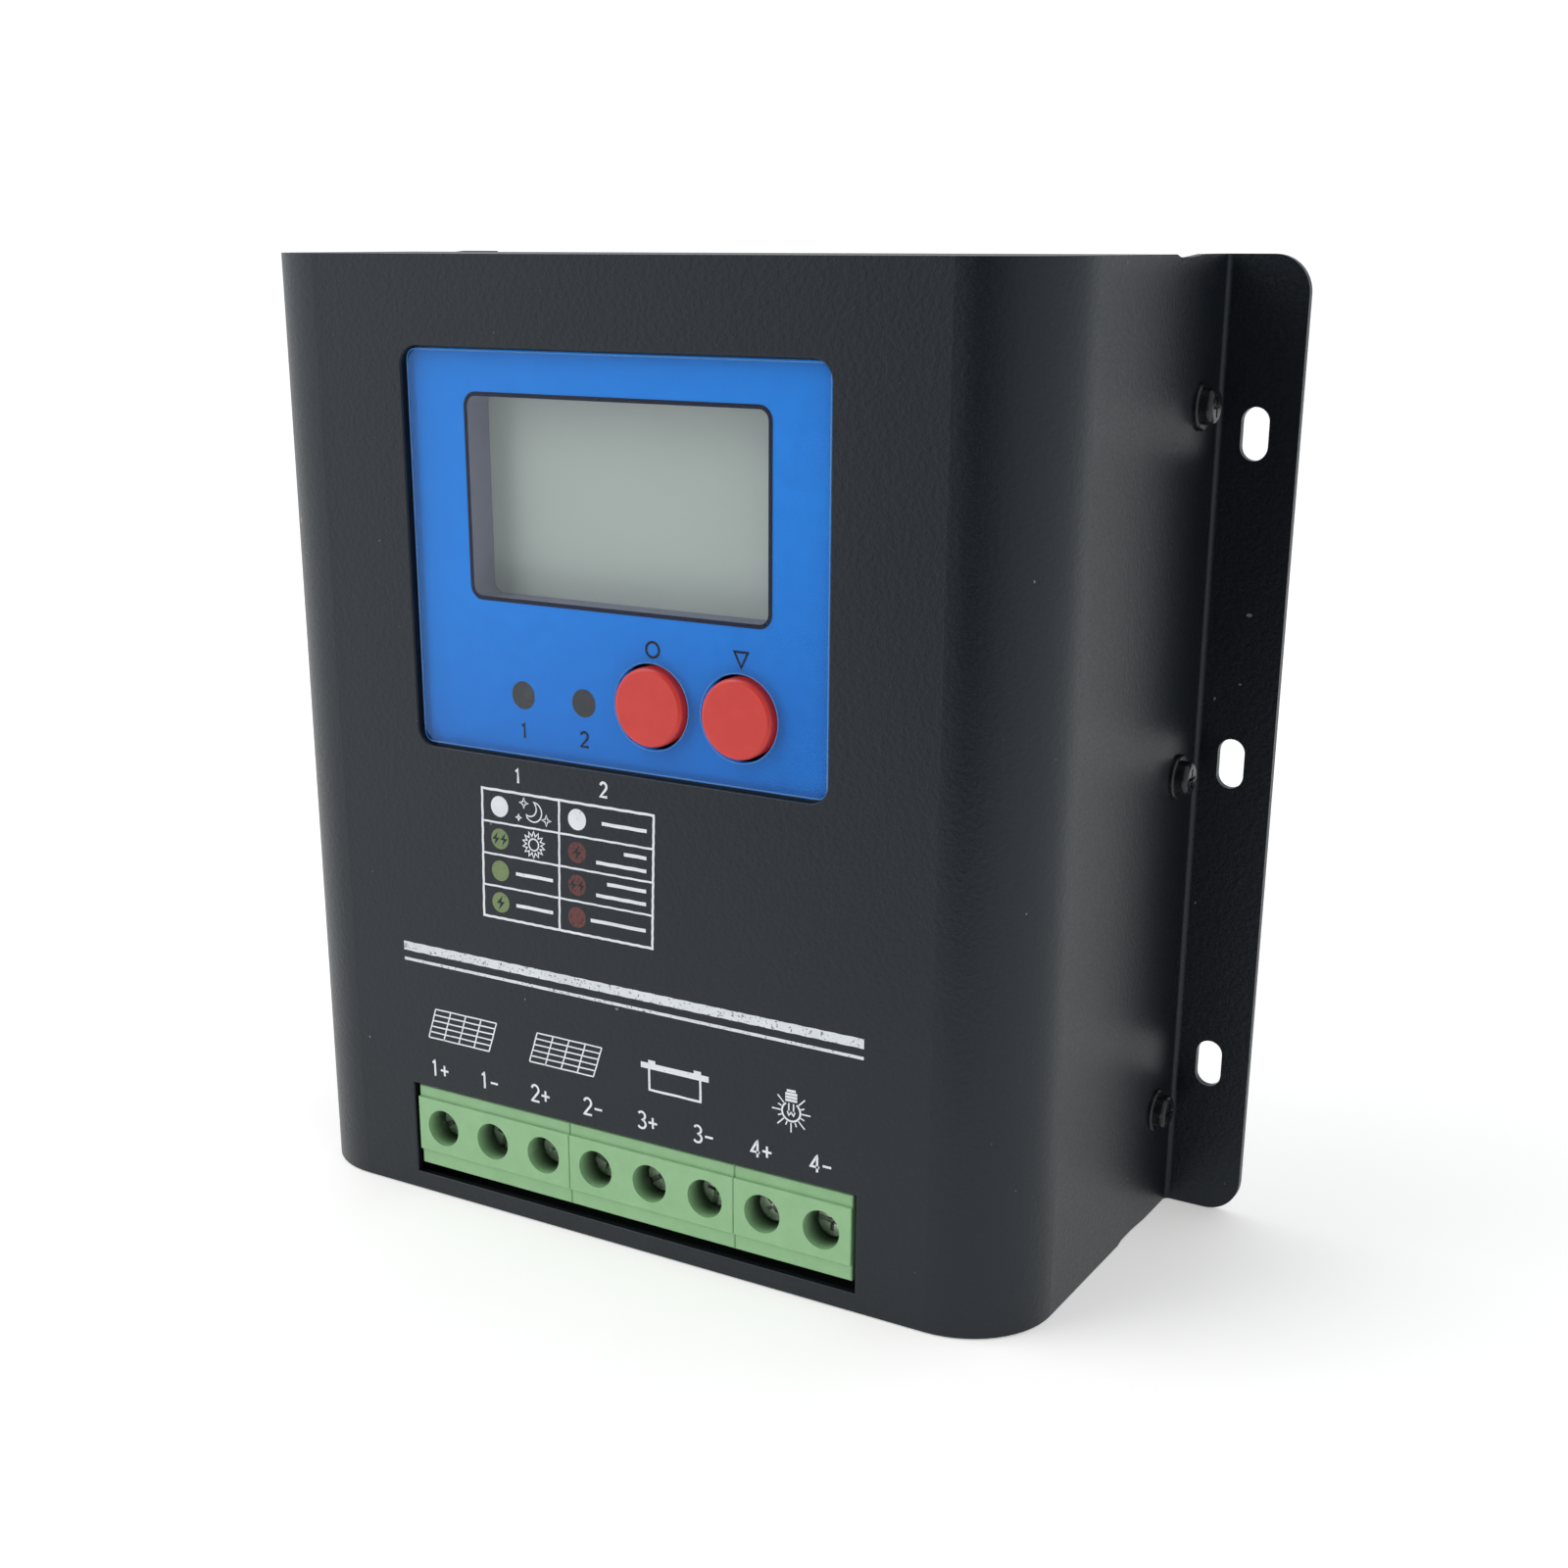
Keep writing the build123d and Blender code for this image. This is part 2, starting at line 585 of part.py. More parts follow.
CHIP_PLACES = ((14.0, 60.0, 10.0, 10.0), (-6.0, 62.0, 5.0, 4.0), (50.0, 62.0, 6.0, 9.0))


def contact_pin_places():
    return [
        (terminal_x(index) + offset, DRIVER_HOLE_Z + 5.1)
        for index in range(TERMINAL_COUNT)
        for offset in (-1.6, 1.6)
    ]


def make_main_board():
    depth = (MAIN_BOARD_DEPTH, MAIN_BOARD_BACK)
    board = rounded_layer(0, 73.5, (124.0, 142.0), 2.0, depth)
    through = (depth[0] - 1, depth[1] + 1)
    for x, z in standoff_places():
        board -= rod(x, z, through, M3_CLEARANCE_RADIUS)
    for x, z in contact_pin_places():
        board -= centred_block(x, through, z, 1.5, 1.5)
    for x in TRANSISTOR_X:
        board -= centred_block(x, through, LEAD_Z, 6.6, 1.2)
    return board


def make_board_standoffs():
    """Six hexagon spacers between the heat sink and the main board."""
    spacers = []
    for x, z in standoff_places():
        spacer = hexagon_rod(x, z, (MAIN_BOARD_BACK, SINK_DEPTH), 5.5)
        spacer -= rod(x, z, (MAIN_BOARD_BACK - 1, MAIN_BOARD_BACK + 8), M3_HOLE_RADIUS)
        stud = (SINK_DEPTH, SINK_DEPTH + SINK_BASE - 0.3)
        spacers.append(spacer + rod(x, z, stud, M3_THREAD_RADIUS))
    return spacers


def make_board_screws():
    length = BOARD_THICKNESS + 6.0
    return [screw_at(x, z, MAIN_BOARD_DEPTH, length) for x, z in standoff_places()]


def make_power_transistors():
    """Eight flat-tab power transistors on the heat sink, leads bent forward to the board."""
    transistors = []
    for x in TRANSISTOR_X:
        half = TRANSISTOR_WIDTH / 2
        back = TRANSISTOR_DEPTH + TRANSISTOR_THICKNESS
        body = block((x - half, x + half), (TRANSISTOR_DEPTH, back), (TRANSISTOR_Z[0], 53.2))
        tab = block((x - half, x + half), (back - 1.3, back), (53.2, TRANSISTOR_Z[1]))
        device = body + tab - rod(x, 56.7, (back - 3, back + 1), 1.8)
        for offset in LEAD_OFFSETS:
            lead = (x + offset - 0.4, x + offset + 0.4)
            shelf = (TRANSISTOR_DEPTH + 1.6, TRANSISTOR_DEPTH + 2.2)
            device += block(lead, shelf, (LEAD_Z - 0.3, TRANSISTOR_Z[0]))
            device += block(lead, (MAIN_BOARD_DEPTH - 1.0, shelf[1]), (LEAD_Z - 0.3, LEAD_Z + 0.3))
        transistors.append(device)
    return transistors


def make_insulating_pad():
    """Thin silicone sheet between the transistors and the heat sink."""
    pad = block((-51.0, 51.0), (SINK_DEPTH - PAD_THICKNESS, SINK_DEPTH), (43.0, 60.5))
    return pad - rod(0, CLAMP_Z, (SINK_DEPTH - 2, SINK_DEPTH + 1), 2.2)


def make_transistor_clamp():
    """Steel bar that presses the transistor bodies on the heat sink."""
    depth = (TRANSISTOR_DEPTH - CLAMP_THICKNESS, TRANSISTOR_DEPTH)
    bar = block((-57.0, 57.0), depth, (CLAMP_Z - 4.0, CLAMP_Z + 4.0))
    for x in CLAMP_SCREW_X:
        bar -= rod(x, CLAMP_Z, (depth[0] - 1, depth[1] + 1), M3_CLEARANCE_RADIUS)
    return bar


def make_clamp_screws():
    seat = TRANSISTOR_DEPTH - CLAMP_THICKNESS
    length = SINK_DEPTH + SINK_BASE - 0.3 - seat
    return [screw_at(x, CLAMP_Z, seat, length) for x in CLAMP_SCREW_X]


def make_capacitors():
    """Three electrolytic cans standing on the board, with a rolled groove near the foot."""
    cans = []
    for x, z in CAPACITOR_PLACES:
        can = rod(x, z, (CAPACITOR_FRONT, MAIN_BOARD_DEPTH), CAPACITOR_RADIUS)
        can = fillet(can.edges().group_by(Axis.Y)[0], 0.8)
        groove = rod(x, z, (MAIN_BOARD_DEPTH - 3.2, MAIN_BOARD_DEPTH - 2.2), CAPACITOR_RADIUS + 1)
        groove -= rod(x, z, (MAIN_BOARD_DEPTH - 4, MAIN_BOARD_DEPTH - 1), CAPACITOR_RADIUS - 0.5)
        cans.append(can - groove)
    return cans


def make_fuse_sockets():
    sockets = []
    for x, z in FUSE_PLACES:
        socket = centred_block(x, (MAIN_BOARD_DEPTH - 8.0, MAIN_BOARD_DEPTH), z, 22.0, 7.0)
        well = (MAIN_BOARD_DEPTH - 9.0, MAIN_BOARD_DEPTH - 1.5)
        for side in (-1, 1):
            socket -= centred_block(x + side * 7.0, well, z, 5.6, 1.2)
        sockets.append(socket)
    return sockets


def make_blade_fuses():
    """Two flat blade fuses plugged into their sockets."""
    fuses = []
    for x, z in FUSE_PLACES:
        top, seat = MAIN_BOARD_DEPTH - 17.5, MAIN_BOARD_DEPTH - 8.0
        fuse = centred_block(x, (top, seat), z, 19.0, 4.6)
        fuse = fillet(fuse.edges().filter_by(Axis.Y), 1.0)
        for side in (-1, 1):
            fuse += centred_block(x + side * 7.0, (seat, MAIN_BOARD_DEPTH - 2.0), z, 5.2, 0.7)
        fuses.append(fuse)
    return fuses


def make_shunts():
    """Three bent resistance wires that measure the current."""
    shunts = []
    wire, span, rise = 0.7, 12.0, 6.0
    for x, z in SHUNT_PLACES:
        crown = MAIN_BOARD_DEPTH - rise
        top = centred_block(x, (crown, crown + 2 * wire), z, 2 * wire, span)
        legs = [
            centred_block(x, (crown, MAIN_BOARD_DEPTH), z + side * (span / 2 - wire), 2 * wire, 2 * wire)
            for side in (-1, 1)
        ]
        shunts.append(top + legs[0] + legs[1])
    return shunts


def make_control_chips():
    return [
        centred_block(x, (MAIN_BOARD_DEPTH - 1.6, MAIN_BOARD_DEPTH), z, width, height)
        for x, z, width, height in CHIP_PLACES
    ]


# --- Terminals ----------------------------------------------------------------------
HEAD_DEPTH = 3.8  # screw head's face below the front
HEAD_HEIGHT = 3.4
HEAD_RADIUS = 2.8
LEDGE_DEPTH = HEAD_DEPTH + HEAD_HEIGHT + 0.05
LEDGE = 0.45
CAVITY_HALF_WIDTH = 4.0
CAVITY_Z = (DRIVER_HOLE_Z - 5.2, DRIVER_HOLE_Z + 6.0)
CAVITY_BACK = MAIN_BOARD_DEPTH - 0.8
CAGE_HALF_WIDTH = 3.7
CAGE_HALF_HEIGHT = 3.2
CAGE_WALL = 1.1
CAGE_HEAD = 1.5  # thickness of the tapped leg
CAGE_TOP_DEPTH = LEDGE_DEPTH + LEDGE + 0.1 + CAGE_TRAVEL
BAR_DEPTH = CAGE_TOP_DEPTH + CAGE_HEAD + 0.2
BAR_THICKNESS = 1.2
WIRE_GAP = 5.0
SCREW_RADIUS = 1.95
CAGE_FOOT_DEPTH = BAR_DEPTH + BAR_THICKNESS + WIRE_GAP
WIRE_MOUTH_HALF_WIDTH = 2.7


def make_housing(first, count):
    """Green moulded block for a few terminals, with a raised band across its front."""
    x = (TERMINAL_ROW_X + first * TERMINAL_PITCH, TERMINAL_ROW_X + (first + count) * TERMINAL_PITCH)
    gap = 0.04
    x = (x[0] + gap, x[1] - gap)
    housing = block(x, (HOUSING_FRONT + STEP_BACK, MAIN_BOARD_DEPTH), HOUSING_Z)
    housing = chamfer(housing.faces().sort_by(Axis.Y)[0].edges(), 0.15)
    band = block(x, (HOUSING_FRONT, MAIN_BOARD_DEPTH - 1), BAND_Z)
    housing += chamfer(band.faces().sort_by(Axis.Y)[0].edges(), 0.12)
    for index in range(first, first + count):
        centre = terminal_x(index)
        housing -= rod(centre, DRIVER_HOLE_Z, (0, LEDGE_DEPTH), DRIVER_HOLE_RADIUS)
        housing -= rod(centre, DRIVER_HOLE_Z, (LEDGE_DEPTH - 1, LEDGE_DEPTH + 2), SCREW_RADIUS + 0.3)
        cavity = (centre - CAVITY_HALF_WIDTH, centre + CAVITY_HALF_WIDTH)
        housing -= block(cavity, (LEDGE_DEPTH + LEDGE, CAVITY_BACK), CAVITY_Z)
        mouth = (centre - WIRE_MOUTH_HALF_WIDTH, centre + WIRE_MOUTH_HALF_WIDTH)
        mouth_depth = (BAR_DEPTH + BAR_THICKNESS, CAGE_FOOT_DEPTH)
        housing -= block(mouth, mouth_depth, (HOUSING_Z[0] - 1, CAVITY_Z[0] + 1))
    for x_pin, z_pin in contact_pin_places():
        if x[0] < x_pin < x[1]:
            housing -= centred_block(x_pin, (CAVITY_BACK - 1, MAIN_BOARD_DEPTH + 1), z_pin, 1.5, 1.5)
    return housing


def make_terminal_screw(index):
    """Slotted and cross-recessed clamp screw, held in the housing by its head."""
    screw = Pos(0, 0, -HEAD_HEIGHT / 2) * Cylinder(HEAD_RADIUS, HEAD_HEIGHT)
    screw = fillet(screw.edges().group_by(Axis.Z)[-1], 0.4)
    screw -= Pos(0, 0, -0.35) * Box(2 * HEAD_RADIUS + 1, 0.9, 0.7 + 0.01)
    screw -= cross_recess(0.62 * HEAD_RADIUS, 1.3)
    shank_length = BAR_DEPTH - 0.2 - HEAD_DEPTH - HEAD_HEIGHT
    shank = Pos(0, 0, -HEAD_HEIGHT - shank_length / 2) * Cylinder(SCREW_RADIUS, shank_length)
    screw += chamfer(shank.edges().group_by(Axis.Z)[0], 0.4)
    turn = Rot(0, 0, 25 + 47 * index)  # each screw was left at its own angle
    return front_plane(HEAD_DEPTH).location * Pos(terminal_x(index), DRIVER_HOLE_Z, 0) * turn * screw


def make_clamp_cage(index):
    """Brass cage that rises towards the screw head and pulls the wire against the bar."""
    x = terminal_x(index)
    height = (DRIVER_HOLE_Z - CAGE_HALF_HEIGHT, DRIVER_HOLE_Z + CAGE_HALF_HEIGHT)
    outer = (x - CAGE_HALF_WIDTH, x + CAGE_HALF_WIDTH)
    cage = block(outer, (CAGE_TOP_DEPTH, CAGE_FOOT_DEPTH + CAGE_WALL), height)
    inner_half = CAGE_HALF_WIDTH - CAGE_WALL
    window = (CAGE_TOP_DEPTH + CAGE_HEAD, CAGE_FOOT_DEPTH)
    cage -= block((x - inner_half, x + inner_half), window, (height[0] - 1, height[1] + 1))
    hole = (CAGE_TOP_DEPTH - 1, CAGE_TOP_DEPTH + CAGE_HEAD + 0.1)
    cage -= rod(x, DRIVER_HOLE_Z, hole, SCREW_RADIUS + RUNNING_CLEARANCE)
    return chamfer(cage.edges().filter_by(Axis.Z).group_by(Axis.Y)[-1], 0.3)


def make_terminal_contacts():
    """Fixed bars inside the cages, each with two pins soldered into the main board."""
    contacts = []
    half_width = 2.3
    leg_z = (DRIVER_HOLE_Z + 4.5, DRIVER_HOLE_Z + 5.7)
    for index in range(TERMINAL_COUNT):
        x = terminal_x(index)
        span = (x - half_width, x + half_width)
        bar = block(span, (BAR_DEPTH, BAR_DEPTH + BAR_THICKNESS), (DRIVER_HOLE_Z - 3.6, leg_z[1]))
        bar += block(span, (BAR_DEPTH, CAVITY_BACK), leg_z)
        for offset in (-1.6, 1.6):
            pin = (CAVITY_BACK - 0.1, MAIN_BOARD_BACK + 1.6)
            bar += centred_block(x + offset, pin, sum(leg_z) / 2, 1.2, 1.2)
        contacts.append(bar)
    return contacts


# --- Writing the parts --------------------------------------------------------------
def all_parts():
    """Every node's name with its solid, or its list of identical solids."""
    parts = {
        "cover": make_cover(),
        "cover_screws": make_cover_screws(),
        "heat_sink": make_heat_sink(),
        "top_end_plate": make_top_end_plate(),
        "bottom_end_plate": make_bottom_end_plate(),
        "end_plate_screws": make_end_plate_screws(),
        "front_panel": make_front_panel(),
        "panel_print": make_panel_print(),
        "display_holder": make_display_holder(),
        "lcd_gasket": make_lcd_gasket(),
        "lcd_glass": make_lcd_glass(),
        "lcd_backlight": make_lcd_backlight(),
        "display_board": make_display_board(),
        "display_screws": make_display_screws(),
        "link_header": make_link_header(),
        "link_socket": make_link_socket(),
        "main_board": make_main_board(),
        "board_standoffs": make_board_standoffs(),
        "board_screws": make_board_screws(),
        "power_transistors": make_power_transistors(),
        "insulating_pad": make_insulating_pad(),
        "transistor_clamp": make_transistor_clamp(),
        "clamp_screws": make_clamp_screws(),
        "capacitors": make_capacitors(),
        "fuse_sockets": make_fuse_sockets(),
        "blade_fuses": make_blade_fuses(),
        "shunt_wires": make_shunts(),
        "control_chips": make_control_chips(),
        "switch_domes": make_switch_domes(),
        "terminal_contacts": make_terminal_contacts(),
    }
    for name, x in LAMP_X.items():
        parts[f"{name}_lamp"] = make_lamp(x)
    for name, x in BUTTON_X.items():
        parts[f"{name}_switch_body"] = make_switch_body(x)
        parts[f"{name}_switch_plunger"] = make_plunger(x)
        parts[f"{name}_button_cap"] = make_cap(x)
    first = 0
    for name, count in TERMINAL_GROUPS.items():
        parts[f"terminal_housing_{name}"] = make_housing(first, count)
        first += count
    for index in range(TERMINAL_COUNT):
        parts[f"terminal_screw_{index + 1}"] = make_terminal_screw(index)
        parts[f"clamp_cage_{index + 1}"] = make_clamp_cage(index)
    return parts


os.makedirs(PARTS_FOLDER, exist_ok=True)
for node, shape in all_parts().items():
    solid = Compound(children=shape) if isinstance(shape, list) else shape
    export_step(solid, f"{PARTS_FOLDER}/{node}.step")
    print(node)
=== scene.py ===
"""Looks of a wall-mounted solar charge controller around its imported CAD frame."""

import json
import math

import bpy
from mathutils import Matrix, Vector


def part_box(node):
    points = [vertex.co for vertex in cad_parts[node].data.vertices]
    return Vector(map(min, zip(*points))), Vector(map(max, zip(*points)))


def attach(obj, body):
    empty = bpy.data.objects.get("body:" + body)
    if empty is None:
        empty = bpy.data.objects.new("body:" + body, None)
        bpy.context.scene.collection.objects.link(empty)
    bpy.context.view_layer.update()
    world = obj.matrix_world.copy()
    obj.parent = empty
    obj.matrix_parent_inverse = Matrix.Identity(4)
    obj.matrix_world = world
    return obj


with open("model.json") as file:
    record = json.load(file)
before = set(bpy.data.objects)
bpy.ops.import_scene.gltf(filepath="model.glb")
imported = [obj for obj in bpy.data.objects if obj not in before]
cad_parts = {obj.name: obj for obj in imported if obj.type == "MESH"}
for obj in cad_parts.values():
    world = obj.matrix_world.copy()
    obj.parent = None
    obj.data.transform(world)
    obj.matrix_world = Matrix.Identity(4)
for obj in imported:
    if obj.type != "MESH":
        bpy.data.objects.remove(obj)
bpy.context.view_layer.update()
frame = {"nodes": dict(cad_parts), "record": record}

MM = 0.001
NODES = frame["nodes"]
FRONT_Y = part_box("terminal_housing_left")[0].y - 0.15 * MM  # flat front face of the cover
FILM_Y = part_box("panel_print")[0].y


# --- Material helpers -----------------------------------------------------------------
class Graph:
    """A new material's node tree, with short calls for the nodes used here."""

    def __init__(self, name):
        self.material = bpy.data.materials.new(name)
        self.material.use_nodes = True
        self.tree = self.material.node_tree
        self.shader = self.tree.nodes["Principled BSDF"]
        self.output = self.tree.nodes["Material Output"]
        self.place = self.node("ShaderNodeTexCoord").outputs["Object"]

    def node(self, kind, **values):
        made = self.tree.nodes.new(kind)
        for key, value in values.items():
            setattr(made, key, value)
        return made

    def link(self, source, target):
        self.tree.links.new(source, target)

    def noise(self, scale, detail=2.0, rough=0.5, stretch=None):
        """Noise over the row frame; scale is in features per metre."""
        made = self.node("ShaderNodeTexNoise")
        made.inputs["Scale"].default_value = scale
        made.inputs["Detail"].default_value = detail
        made.inputs["Roughness"].default_value = rough
        place = self.place
        if stretch:
            mapping = self.node("ShaderNodeMapping")
            mapping.inputs["Scale"].default_value = stretch
            self.link(place, mapping.inputs["Vector"])
            place = mapping.outputs["Vector"]
        self.link(place, made.inputs["Vector"])
        return made.outputs["Fac"]

    def ramp(self, source, stops):
        """Colour ramp from (position, colour) pairs; a number stands for a grey."""
        made = self.node("ShaderNodeValToRGB")
        elements = made.color_ramp.elements
        while len(elements) < len(stops):
            elements.new(0.5)
        for element, (position, colour) in zip(elements, stops):
            element.position = position
            value = (colour,) * 3 if isinstance(colour, (int, float)) else colour
            element.color = (*value, 1.0)
        self.link(source, made.inputs["Fac"])
        return made.outputs["Color"]

    def mix(self, factor, a, b):
        """Colour between a and b; each is an output or a colour."""
        made = self.node("ShaderNodeMix", data_type="RGBA")
        for value, socket in ((factor, made.inputs[0]), (a, made.inputs[6]), (b, made.inputs[7])):
            if isinstance(value, bpy.types.NodeSocket):
                self.link(value, socket)
            elif isinstance(value, (int, float)):
                socket.default_value = value
            else:
                socket.default_value = (*value, 1.0)
        return made.outputs[2]

    def math(self, operation, a, b=0.0):
        made = self.node("ShaderNodeMath", operation=operation)
        for value, socket in ((a, made.inputs[0]), (b, made.inputs[1])):
            if isinstance(value, bpy.types.NodeSocket):
                self.link(value, socket)
            else:
                socket.default_value = value
        return made.outputs[0]

    def bump(self, height, distance, strength=1.0, under=None):
        made = self.node("ShaderNodeBump")
        made.inputs["Strength"].default_value = strength
        made.inputs["Distance"].default_value = distance
        self.link(height, made.inputs["Height"])
        if under is not None:
            self.link(under, made.inputs["Normal"])
        return made.outputs["Normal"]

    def set(self, **values):
        """Sets or links sockets of the main shader, by name with _ for each space."""
        for key, value in values.items():
            socket = self.shader.inputs[key.replace("_", " ")]
            if isinstance(value, bpy.types.NodeSocket):
                self.link(value, socket)
            else:
                socket.default_value = value
        return self


def plain(name, dark, light, roughness, scale, metallic=0.0, bump=0.000004, stretch=None, **more):
    """Everyday finish: colour, roughness and bump that all vary a little over the surface."""
    g = Graph(name)
    coarse = g.noise(scale, 4.0, 0.6, stretch)
    fine = g.noise(scale * 6, 3.0, 0.55, stretch)
    g.set(Base_Color=g.ramp(coarse, [(0.3, dark), (0.7, light)]), Metallic=metallic, **more)
    g.set(Roughness=g.ramp(fine, [(0.3, roughness * 0.85), (0.7, roughness * 1.15)]))
    g.set(Normal=g.bump(fine, bump))
    return g.material


# --- Materials ------------------------------------------------------------------------
def powder_coat():
    """Satin black powder coat with a fine orange peel and sparse specks of dust."""
    g = Graph("powder_coat")
    peel = g.noise(1250.0, 2.0, 0.5)
    pits = g.noise(3100.0, 2.0, 0.5)
    cloud = g.noise(26.0, 3.0, 0.5)
    coat = g.ramp(cloud, [(0.3, (0.0034, 0.0044, 0.0066)), (0.7, (0.0050, 0.0062, 0.0088))])
    specks = g.ramp(g.noise(620.0, 1.0, 0.5), [(0.80, 0.0), (0.82, 1.0)])
    g.set(Base_Color=g.mix(specks, coat, (0.16, 0.17, 0.18)))
    g.set(Roughness=g.ramp(pits, [(0.35, 0.36), (0.7, 0.46)]))
    height = g.math("ADD", peel, g.math("MULTIPLY", pits, 0.3))
    g.set(Normal=g.bump(height, 0.00006), Specular_IOR_Level=0.45)
    g.set(Specular_Tint=(0.82, 0.91, 1.0, 1.0))
    return g.material


def clear_acrylic():
    """Cast acrylic sheet that lets light straight through to what lies behind it."""
    g = Graph("acrylic")
    smear = g.noise(30.0, 4.0, 0.6)
    g.set(Base_Color=g.ramp(smear, [(0.3, (0.94, 0.97, 0.98)), (0.7, (0.97, 0.99, 1.0))]))
    g.set(Roughness=g.ramp(smear, [(0.35, 0.015), (0.8, 0.05)]))
    g.set(Transmission_Weight=1.0, IOR=1.35, Normal=g.bump(smear, 0.000004))
    pass_light = g.node("ShaderNodeBsdfTransparent")
    path = g.node("ShaderNodeLightPath")
    seen = g.shader.outputs[0]
    for rays in ("Is Diffuse Ray", "Is Shadow Ray"):
        mixed = g.node("ShaderNodeMixShader")
        g.link(path.outputs[rays], mixed.inputs[0])
        g.link(seen, mixed.inputs[1])
        g.link(pass_light.outputs[0], mixed.inputs[2])
        seen = mixed.outputs[0]
    g.link(seen, g.output.inputs["Surface"])
    return g.material


def blue_film():
    """Blue printing ink behind the acrylic with a faint mottle; painted light makes it lighter towards the
    top left and painted shade darker towards the bottom right.
    """
    g = Graph("blue_print")
    mottle = g.noise(420.0, 4.0, 0.6)
    unshaded_colour = g.ramp(mottle, [(0.3, (0.008, 0.215, 0.760)), (0.7, (0.011, 0.235, 0.810))])
    painted_shade_blue = g.ramp(mottle, [(0.3, (0.004, 0.160, 0.620)), (0.7, (0.006, 0.180, 0.670))])
    place = g.node("ShaderNodeSeparateXYZ")
    g.link(g.place, place.inputs[0])
    x, _, z = place.outputs
    # painted light and shade: the blue goes from shaded at the bottom right to lit at the top left
    height = g.node("ShaderNodeMapRange")
    g.link(g.math("SUBTRACT", z, g.math("MULTIPLY", x, 0.25)), height.inputs["Value"])
    height.inputs["From Min"].default_value = 0.080
    height.inputs["From Max"].default_value = 0.108
    g.set(Base_Color=g.mix(height.outputs["Result"], painted_shade_blue, unshaded_colour))
    g.set(Roughness=g.ramp(mottle, [(0.3, 0.6), (0.7, 0.7)]), Specular_IOR_Level=0.0)
    g.set(Normal=g.bump(mottle, 0.000003))
    return g.material


def ink(name, solid, worn, holes=0.62, gloss=0.5):
    """Screen-printing ink on the rough coat: a little uneven, with pinholes."""
    g = Graph(name)
    grain = g.noise(2600.0, 3.0, 0.6)
    cloud = g.noise(240.0, 2.0, 0.5)
    base = g.ramp(cloud, [(0.3, tuple(0.9 * c for c in solid)), (0.7, solid)])
    spots = g.ramp(grain, [(holes, 0.0), (holes + 0.05, 1.0)])
    g.set(Base_Color=g.mix(spots, base, worn))
    g.set(Roughness=g.ramp(grain, [(0.3, 0.5), (0.7, 0.7)]), Normal=g.bump(grain, 0.00003))
    g.set(Specular_IOR_Level=gloss)
    return g.material


def circuit_board():
    """Green solder mask over faint tracks."""
    g = Graph("circuit_board")
    tracks = g.node("ShaderNodeTexBrick")
    tracks.inputs["Scale"].default_value = 120.0
    tracks.inputs["Mortar Size"].default_value = 0.03
    tracks.inputs["Color1"].default_value = (0.010, 0.105, 0.035, 1)
    tracks.inputs["Color2"].default_value = (0.014, 0.130, 0.045, 1)
    tracks.inputs["Mortar"].default_value = (0.006, 0.070, 0.022, 1)
    turned = g.node("ShaderNodeMapping")
    turned.inputs["Rotation"].default_value = (math.radians(90), 0, 0)
    g.link(g.place, turned.inputs["Vector"])
    g.link(turned.outputs["Vector"], tracks.inputs["Vector"])
    grain = g.noise(900.0)
    g.set(Base_Color=tracks.outputs["Color"], Roughness=g.ramp(grain, [(0.3, 0.28), (0.7, 0.4)]))
    g.set(Normal=g.bump(tracks.outputs["Fac"], 0.00003))
    return g.material


def terminal_plastic():
    """Green moulding with painted shade: darker down its driver holes."""
    g = Graph("green_plastic")
    flow = g.noise(300.0, 4.0, 0.6)
    grain = g.noise(1800.0, 3.0, 0.55)
    unshaded_colour = g.ramp(flow, [(0.3, (0.26, 0.475, 0.235)), (0.7, (0.295, 0.52, 0.27))])
    painted_shade_green = g.ramp(flow, [(0.3, (0.055, 0.10, 0.050)), (0.7, (0.075, 0.13, 0.070))])
    place = g.node("ShaderNodeSeparateXYZ")
    g.link(g.place, place.inputs[0])
    # painted shade: the green darkens with depth down the driver holes
    depth = g.node("ShaderNodeMapRange")
    g.link(place.outputs["Y"], depth.inputs["Value"])
    depth.inputs["From Min"].default_value = FRONT_Y + 0.8 * MM
    depth.inputs["From Max"].default_value = FRONT_Y + 3.2 * MM
    g.set(Base_Color=g.mix(depth.outputs["Result"], unshaded_colour, painted_shade_green))
    g.set(Roughness=g.ramp(grain, [(0.3, 0.38), (0.7, 0.52)]), Normal=g.bump(grain, 0.00001))
    return g.material


